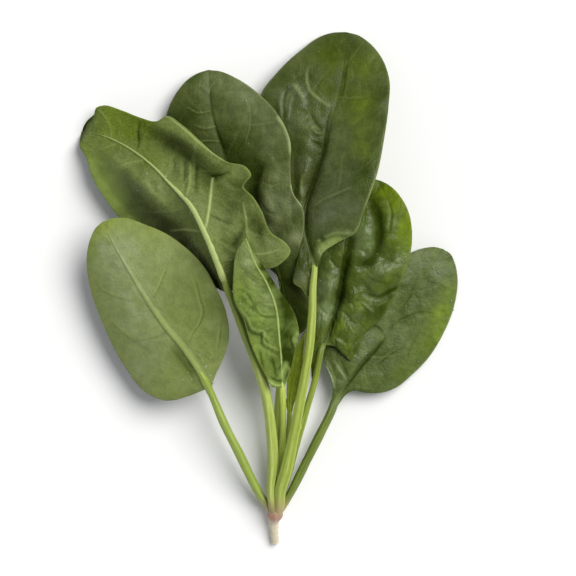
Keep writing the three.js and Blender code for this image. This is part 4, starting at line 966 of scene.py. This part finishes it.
foldedLeaf = dict(
    common, seed=55, topLook="young", fineness=0.85, swell=(0.5, 1.5), veins=([0.26, 0.58], [0.33, 0.67]),
    cellShow=0.02, cellSize=5, puff=0.1, quilt=0.3, crumple=0.25, groove=-0.25, ribScale=0.5, ribShow=0.65,
    baseFade=0.8, ribFade=0.4, ribTaper=0.5, veinWidth=0.35, veinShow=0.12, ruffle=0.3, ruffleLength=14,
    creaseShade=0.15, crinkle=0.28, crinkleSize=6, stalkLook="bright",
    midrib=[[4, 62.5, 22], [3.5, 74.5, 26.5], [2.5, 86.5, 32], [0.5, 103, 37.5], [-4, 114, 41],
            [-9, 122.5, 43], [-13.5, 134.5, 42]],
    leftEdge=[[3, 62.5, 22.5], [-1, 63, 27], [-4, 68, 30], [-8, 76, 33], [-11.5, 84.5, 35], [-15, 96, 37.5],
              [-19, 104, 39.5], [-19.5, 117, 41], [-17.5, 129, 42], [-13.5, 134.5, 42]],
    rightEdge=[[5, 62.5, 22], [7.5, 69.5, 21], [9.5, 78.5, 23], [12, 89.5, 26], [9, 100, 29],
               [4.5, 106.5, 32], [-0.5, 114, 35], [-5, 121, 38], [-10, 127.5, 41], [-13.5, 134.5, 42]],
    stalk=[[0, 3.5, 6.5], [2.5, 15, 9], [4, 32, 12.5], [4.5, 49, 17.5], [4, 62.5, 22]],
    stalkRadii=[1.1, 1.3, 1.4, 1.4, 1.3],
    veinAndHighlightLines=[
        (0.6, 0.4, [-8.5, 102, -6, 98.5, 0, 98]),
        (0.4, 0.4, [-5, 103, 0.5, 102.5]),
        # painted highlight along the curl at the foot
        (0.6, 0.6, [-3.5, 66.5, 0, 64, 6, 63.2]),
        (0.5, 0.7, [5.5, 73.5, 7.5, 71, 7, 66.5]),
        # painted highlight along the edge of the upper layer
        (0.5, 0.4, [-17, 101.5, -12.5, 96, -10, 91, -7.5, 90, -5, 90, -4.5, 84.7, -1.5, 82.5, 2.5, 80.5]),
    ],
    folds=[
        ("ledge", 1.2, 5, [-17.5, 100.5, -13, 95, -11, 90, -8, 89, -5.5, 89, -5.5, 84, -2, 81.5, 2.5, 79.5]),
        ("ridge", 0.7, 1.4, [-9, 105, -8, 101, -4, 98.5, 0.5, 98]),
        ("crease", 0.7, 0.8, [-7, 96, -3, 97, 0.5, 96.5]),
        ("crease", 0.5, 0.8, [-6, 92.5, -2, 90.5]),
        ("crease", 0.7, 0.8, [-15, 119.5, -10.5, 116, -8, 114]),
        ("ridge", 0.8, 3, [-13, 123, -11.5, 114.5, -13, 105]),
        ("ridge", 0.8, 1.5, [-4.5, 81.5, -1, 76.5, -1, 68.5]),
        ("ridge", 1, 1, [-3, 65, 0.5, 63, 5.5, 63]),
        ("ridge", 0.7, 0.8, [-15.5, 108, -12.5, 104, -9.5, 101]),
        ("ridge", 0.6, 0.8, [-14, 100.5, -11, 98, -8, 97.5]),
        ("ridge", 0.5, 0.7, [-10, 94.5, -7, 95.3, -4.5, 94]),
        ("ridge", 0.6, 0.8, [-6, 89, -3.5, 86, -2, 83]),
        ("ridge", 0.6, 2, [5.5, 105, 7, 95, 8, 88]),
        ("crease", 0.8, 1.5, [4.5, 105, 5, 90]),
        ("ledge", 1, 4, [12, 90, 8.5, 85, 11.5, 79.5]),
        ("ridge", 1.6, 1.3, [2.6, 65.5, 4.2, 70.3, 6.5, 76]),
    ],
    glow=[(-16.5, 112, 5, 0.8), (-10, 83, 4, 0.8), (-5, 74, 6, 0.7), (-6, 119.5, 4, 0.5),
          (-12.5, 105, 4, 0.4), (-7, 97, 4, 0.4)],
    paintedSheen=[(-14, 129, 4, 0.6), (-3, 104.5, 4, 1.0), (-13, 122, 6, 0.6), (-8, 114, 5, 0.3)],
    shade=[(-2, 73, 3.5, 0.2), (-14, 90, 4, 0.2), (-5, 121, 3.5, 1.0), (-1, 114, 4, 1.0), (5, 105, 5, 1.0),
           (7.5, 97, 5, 0.9), (5.5, 88, 4, 0.9), (6, 79, 5, 1.0), (9, 74, 4, 0.7)],
    shadeLines=[
        (0.6, 0.55, [-17.8, 99.8, -13.3, 94.3, -11.5, 89.6, -8, 88.2, -6.2, 88.2, -6.2, 83.8, -2.5, 80.9,
                     2, 78.5]),
        (0.5, 0.6, [-9, 104, -7.5, 99.5, -3, 96.5, 0.5, 96.5]),
        (0.5, 0.6, [-14.5, 118.5, -10.5, 115, -7.5, 113]),
        (0.5, 0.6, [-16, 110, -12, 107, -9.5, 101]),
        (0.5, 0.6, [-6.5, 92, -3, 90, 0, 90.5]),
        (0.6, 0.9, [-1.5, 78, 0, 73, 1, 67]),
        (0.6, 0.8, [-7, 82, -6, 76, -4.5, 70]),
        (0.8, 0.6, [-2, 68, 1, 66, 4.5, 66]),
        (0.6, 0.4, [1.6, 69.5, 3, 73, 5.2, 76.8]),
        (0.9, 0.5, [7.8, 75.5, 7, 70.5, 5.2, 66.2]),
        (0.8, 0.5, [8.2, 88, 8.3, 85, 9.6, 81]),
    ],
    pale=[(11.4, 88.4, 1.1, 0.9), (10.3, 85.4, 1.4, 0.8), (10.7, 82.4, 1.1, 0.7)],
    highlightLines=[
        # painted highlight along the curled knob
        (0.8, 1.2, [2.7, 66.5, 4.3, 70.3, 6.3, 75.2]),
    ],
)

youngLeaf = dict(
    common, seed=89, topLook="slip", fineness=0.5, swell=(-0.6, -0.6), veins=([0.2, 0.5], [0.3, 0.6]),
    cellSize=4, puff=0.1, quilt=0.1, wave=0.1, crumple=0.1, ruffle=0.1, groove=0.2, stalkRun=0.6,
    stalkLook="olive", rimShow=0.0, neckShow=1.0,
    midrib=[[7.5, 47.5, 11.5], [8, 58.5, 14], [10, 70, 16], [12.5, 80.5, 18.5], [15, 89, 20]],
    leftEdge=[[7.3, 47.5, 11.5], [6.9, 52.5, 12.8], [6.2, 58.5, 14.5], [7, 70, 17], [10.2, 81, 19.5],
              [15, 89, 20]],
    rightEdge=[[7.7, 47.5, 11.5], [9.2, 52.5, 12.8], [11, 58.5, 14.5], [13.5, 70, 17], [14.5, 80.5, 19.5],
               [15, 89, 20]],
    stalk=[[2, 3.5, 6], [4, 15, 7.5], [6, 32, 9.5], [7.5, 47.5, 11.5]],
    stalkRadii=[0.9, 1.1, 1.25, 1.2],
)

leaves = dict(tall_leaf=tallLeaf, upper_left_leaf=upperLeftLeaf, lower_left_leaf=lowerLeftLeaf,
              lower_right_leaf=lowerRightLeaf, crinkled_leaf=crinkledLeaf, top_left_leaf=topLeftLeaf,
              folded_leaf=foldedLeaf, young_leaf=youngLeaf)
bladeSlots = {name: "leaf_pale" if name in ("upper_left_leaf", "lower_left_leaf", "folded_leaf", "young_leaf")
              else "leaf_green" for name in leaves}
for name, leaf in leaves.items():
    blade = bladePiece(name + "_fine_blade", leaf)
    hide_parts(name + "_blade")
    stalk = stalkPiece(name + "_fine_stalk", leaf)
    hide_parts(name + "_stalk")
print("leaves made")


# Crown and taproot. Each ring is x, y, z and radius

crown = dict(
    rings=[[0.4, 3.4, 6.3, 2.9], [0.5, 2, 6.15, 3.4], [0.4, 0.4, 6, 3.75], [0.2, -1.2, 5.7, 3.55],
           [0, -2.6, 5.3, 2.85], [0, -3.8, 4.95, 2.3]],
    folds=8, foldDepth=0.07,
    green=(0.42, 0.36, 0.2), pink=(0.35, 0.2, 0.14), cream=(0.58, 0.48, 0.36),
)
taproot = dict(
    rings=[[0, -2.5, 5.3, 2.3], [0, -3.5, 4.95, 2.2], [0, -6, 4.2, 2.1], [0.2, -10, 3, 2],
           [0.5, -13.9, 1.92, 1.9]],
    skin=(0.62, 0.56, 0.42), stain=(0.42, 0.33, 0.2), cut=(0.7, 0.66, 0.52),
)


def bodyPiece(name, rings, wobble, materials, count=60, sides=48):
    down = np.linspace(0, 1, count + 1)
    sized = lineThrough(rings, down)
    centre, radius = sized[:, :3], sized[:, 3:]
    angle = np.linspace(0, math.tau, sides, endpoint=False)
    points, faces = tube(centre, radius * (1 + wobble(down[:, None], angle[None])), angle, hand=-1)
    points[..., 2] = np.maximum(points[..., 2], bunch["tableGap"])
    down = down.repeat(sides)
    place = np.stack([np.tile(angle * 2, count + 1), centre[:, 1].repeat(sides), down], 1)
    return makePiece(name, points.reshape(-1, 3), faces, dict(down=down, place=place), materials)


def crownMaterial():
    material, tree = startMaterial("crown_skin")
    streaks = noiseOf(tree, scale=1.2, detail=4, roughness=0.65, stretch=(1.0, 0.3, 1))
    shifted = calculate(tree, "MULTIPLY_ADD", streaks, 0.35,
                        calculate(tree, "SUBTRACT", markOf(tree, "down"), 0.17))
    colour = paintLayers(tree, crown["green"], crown, (
        (rangeTo(tree, shifted, 0.12, 0.38, 0, 1), "pink"),
        (rangeTo(tree, shifted, 0.62, 0.98, 0, 1), "cream"),
    ))
    return finishMaterial(material, {
        "Base Color": colour, "Roughness": rangeTo(tree, streaks, 0.3, 0.7, 0.45, 0.65)},
        bump=(streaks, 0.6, 0.0004))


def rootMaterial():
    material, tree = startMaterial("root_skin")
    wrinkles = noiseOf(tree, scale=1.1, detail=5, roughness=0.65, stretch=(0.35, 1.6, 1))
    colour = paintLayers(tree, taproot["skin"], taproot, (
        (rangeTo(tree, wrinkles, 0.42, 0.75, 0, 0.7), "stain"),
        (rangeTo(tree, markOf(tree, "down"), 0.93, 1, 0, 0.6), "cut"),
    ))
    return finishMaterial(material, {
        "Base Color": colour, "Roughness": rangeTo(tree, wrinkles, 0.3, 0.7, 0.62, 0.8)},
        bump=(wrinkles, 0.7, 0.0004))


crownPiece = bodyPiece(
    "crown_body", crown["rings"],
    lambda t, a: (crown["foldDepth"] * np.cos(crown["folds"] * a + 1.0) * (1 - t)
                  + 0.02 * np.sin(3 * a + 5 * t)),
    [crownMaterial()])
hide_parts("crown")
rootPiece = bodyPiece(
    "taproot_body", taproot["rings"],
    lambda t, a: 0.03 * np.sin(2 * a + 7 * t) + 0.02 * np.sin(26 * t) + 0.02 * np.sin(5 * a + 3),
    [rootMaterial()])
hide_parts("taproot")
print("crown and taproot made")


# Water drops

drops = dict(
    places=dict(     # x, y and radius of each drop, mm
        folded_leaf=[(-14, 122.2, 0.6), (-9.7, 113, 0.55), (-13.5, 108, 0.45), (-11, 100, 0.5),
                     (-16, 103, 0.45)],
        crinkled_leaf=[(22.3, 114, 0.6), (27.2, 118.3, 0.55), (30.6, 110.6, 0.6), (26.2, 102.8, 0.5),
                       (42.7, 135.3, 0.8), (46.1, 134.8, 0.6), (62.6, 123.2, 0.8), (42.2, 76.6, 0.6),
                       (23.5, 95, 0.45), (29, 98, 0.4), (50, 127, 0.5), (36, 88, 0.45), (58, 120, 0.45),
                       (60, 127, 0.4), (25, 121, 0.4), (44, 103, 0.4), (53, 111, 0.4), (64, 138, 0.5),
                       (40, 84, 0.4)],
        lower_right_leaf=[(77.6, 120.3, 0.7), (80.5, 117.9, 0.9), (86.3, 103.8, 0.9), (79, 112, 0.5),
                          (84.5, 96, 0.5), (70, 74.5, 0.5), (74, 80, 0.5), (66, 71, 0.45), (44.5, 79, 0.5),
                          (39, 70.5, 0.5), (53, 92.5, 0.4), (56, 89, 0.4), (59, 94, 0.35),
                          (51.5, 95.5, 0.35), (46.5, 80.5, 0.5), (61, 104, 0.35), (66, 110, 0.4),
                          (88, 100, 0.5)],
        upper_left_leaf=[(-71.8, 170.7, 0.5), (-62, 136.8, 0.6), (-67.9, 116, 0.5), (-52, 164.5, 0.6),
                         (-56, 159, 0.5), (-48, 157.5, 0.5), (-61.5, 166, 0.5), (-47, 170, 0.45),
                         (-40, 147, 0.5), (-75, 186, 0.45), (-45, 153, 0.4), (-66, 158, 0.45)],
        lower_left_leaf=[(-33, 72.7, 0.6), (-31, 68, 0.6), (-29.5, 64.5, 0.9), (-31.5, 63.8, 0.7),
                         (-34.5, 66, 0.5), (-40, 66.5, 0.5), (-44, 66, 0.45), (-31, 77, 0.5),
                         (-42, 69.5, 0.4), (-36, 78, 0.4), (-60, 101, 0.4), (-70, 118, 0.4),
                         (-55, 128, 0.4)],
        tall_leaf=[(7.3, 208, 0.7), (10, 205, 0.6), (13, 199.5, 0.7), (12, 196, 0.5), (3.5, 202, 0.5),
                   (4, 190, 0.5), (17, 190, 0.5), (21, 186, 0.5), (15.5, 172, 0.5), (12, 163, 0.4),
                   (33, 231, 0.4), (22, 226, 0.4)],
        top_left_leaf=[(-14, 201.5, 0.6), (-13, 191, 0.4), (-12.5, 181, 0.5), (-1, 173, 0.9), (6, 183, 0.4),
                       (-2, 160, 0.4), (-6, 196, 0.4)],
    ),
    flatness=0.55, sunk=0.12, rings=5, sides=14,
    onDark=(0.17, 0.21, 0.12), onPale=(0.42, 0.47, 0.3), solidness=0.55, gleam=0.9, refraction=1.33,
)


def dropMaterial():
    material, tree = startMaterial("water")
    noise = noiseOf(tree, scale=0.8, detail=2)
    colour = paintLayers(tree, drops["onDark"], drops, (
        (markOf(tree, "pale"), "onPale"),
        (rangeTo(tree, noise, 0.4, 0.7, 0, 0.3), "onDark"),
    ))
    return finishMaterial(material, {
        "Base Color": colour, "Roughness": rangeTo(tree, noise, 0.3, 0.7, 0.04, 0.1),
        "IOR": drops["refraction"], "Specular IOR Level": drops["gleam"], "Alpha": drops["solidness"]})


def dropsPiece():
    rings, sides = drops["rings"], drops["sides"]
    tilt = np.linspace(0, math.pi / 2, rings + 1)[1:]
    turn = np.linspace(0, math.tau, sides, endpoint=False)
    dome = np.array([[0, 0, 1]] + [[math.sin(a) * math.cos(b), math.sin(a) * math.sin(b), math.cos(a)]
                                   for a in tilt for b in turn])
    index = 1 + np.arange(rings * sides).reshape(rings, sides)
    fan = [[0, 1 + k, 1 + (k + 1) % sides] for k in range(sides)]
    fan += ringQuads(index, -1) + [index[-1, ::-1].tolist()]
    points, faces, pale = [], [], []
    for name, spots in drops["places"].items():
        face = leaves[name]["face"]
        slopes = np.cross(np.gradient(face, axis=1), np.gradient(face, axis=0))
        for x, y, radius in spots:
            k = np.unravel_index(np.argmin((face[..., 0] - x) ** 2 + (face[..., 1] - y) ** 2), face.shape[:2])
            up = unit(slopes[k])
            up = up if up[2] > 0 else -up
            side = unit(np.cross(up, [0.0, 1.0, 0.0]))
            ahead = np.cross(side, up)
            spot = dome * radius
            lift = (spot[:, 2] * drops["flatness"] - drops["sunk"])[:, None]
            faces += [[v + len(points) * len(dome) for v in f] for f in fan]
            points.append(face[k] + spot[:, :1] * side + spot[:, 1:2] * ahead + lift * up)
            pale += [bladeSlots[name] == "leaf_pale"] * len(dome)
    points = np.concatenate(points)
    return makePiece("water_drops", points, faces, dict(place=points, pale=pale), [dropMaterial()])


dropsPiece()
print("water drops made")


# Table, light and camera

studio = dict(
    floor=(0.88, 0.88, 0.88), floorSize=4.0, floorRoughness=0.9, floorGleam=0.1,
    keyStrength=3.35, keyWidth=46, keyHeight=52, keyTurn=38,      # degrees
    keyColour=(1.0, 0.985, 0.96), skyColour=(0.94, 0.97, 1.0), skyAbove=0.1, skySide=0.95,
    cameraHeight=2.5, cameraX=0.00943, cameraY=0.00024, sensorWidth=36,
    viewWidth=0.2794, leafHeight=0.02,      # the view's width in metres at the height of the leaves
)

half = studio["floorSize"] / 2
floorMesh = bpy.data.meshes.new("table")
floorMesh.from_pydata([(-half, -half, 0), (half, -half, 0), (half, half, 0), (-half, half, 0)], [],
                      [(0, 1, 2, 3)])
floorMesh.materials.append(finishMaterial(startMaterial("table_white")[0], {
    "Base Color": studio["floor"], "Roughness": studio["floorRoughness"],
    "Specular IOR Level": studio["floorGleam"]}))
floor = addObject("table", floorMesh)

# the sky is darker straight above than at the sides
world = bpy.data.worlds.new("studio")
world.use_nodes = True
sky = world.node_tree
background = sky.nodes["Background"]
upAmount = addNode(sky, "SeparateXYZ", {"Vector": addNode(sky, "TexCoord").outputs["Generated"]}).outputs["Z"]
setInput(sky, background.inputs["Color"], studio["skyColour"])
setInput(sky, background.inputs["Strength"],
         rangeTo(sky, upAmount, 0, 1, studio["skySide"], studio["skyAbove"]))
bpy.context.scene.world = world

keyData = bpy.data.lights.new("key", "SUN")
keyData.energy = studio["keyStrength"]
keyData.angle = math.radians(studio["keyWidth"])
keyData.color = studio["keyColour"]
key = addObject("key", keyData)
key.rotation_euler = (math.radians(90 - studio["keyHeight"]), 0, math.radians(studio["keyTurn"] + 90))

cameraData = bpy.data.cameras.new("camera")
cameraData.sensor_width = studio["sensorWidth"]
cameraFar = studio["cameraHeight"] - studio["leafHeight"]
cameraData.lens = studio["sensorWidth"] / 2 * cameraFar / (studio["viewWidth"] / 2)
camera = addObject("camera", cameraData)
camera.location = (studio["cameraX"], studio["cameraY"], studio["cameraHeight"])
bpy.context.scene.camera = camera
bpy.context.scene.view_settings.view_transform = "Standard"
print("studio made")
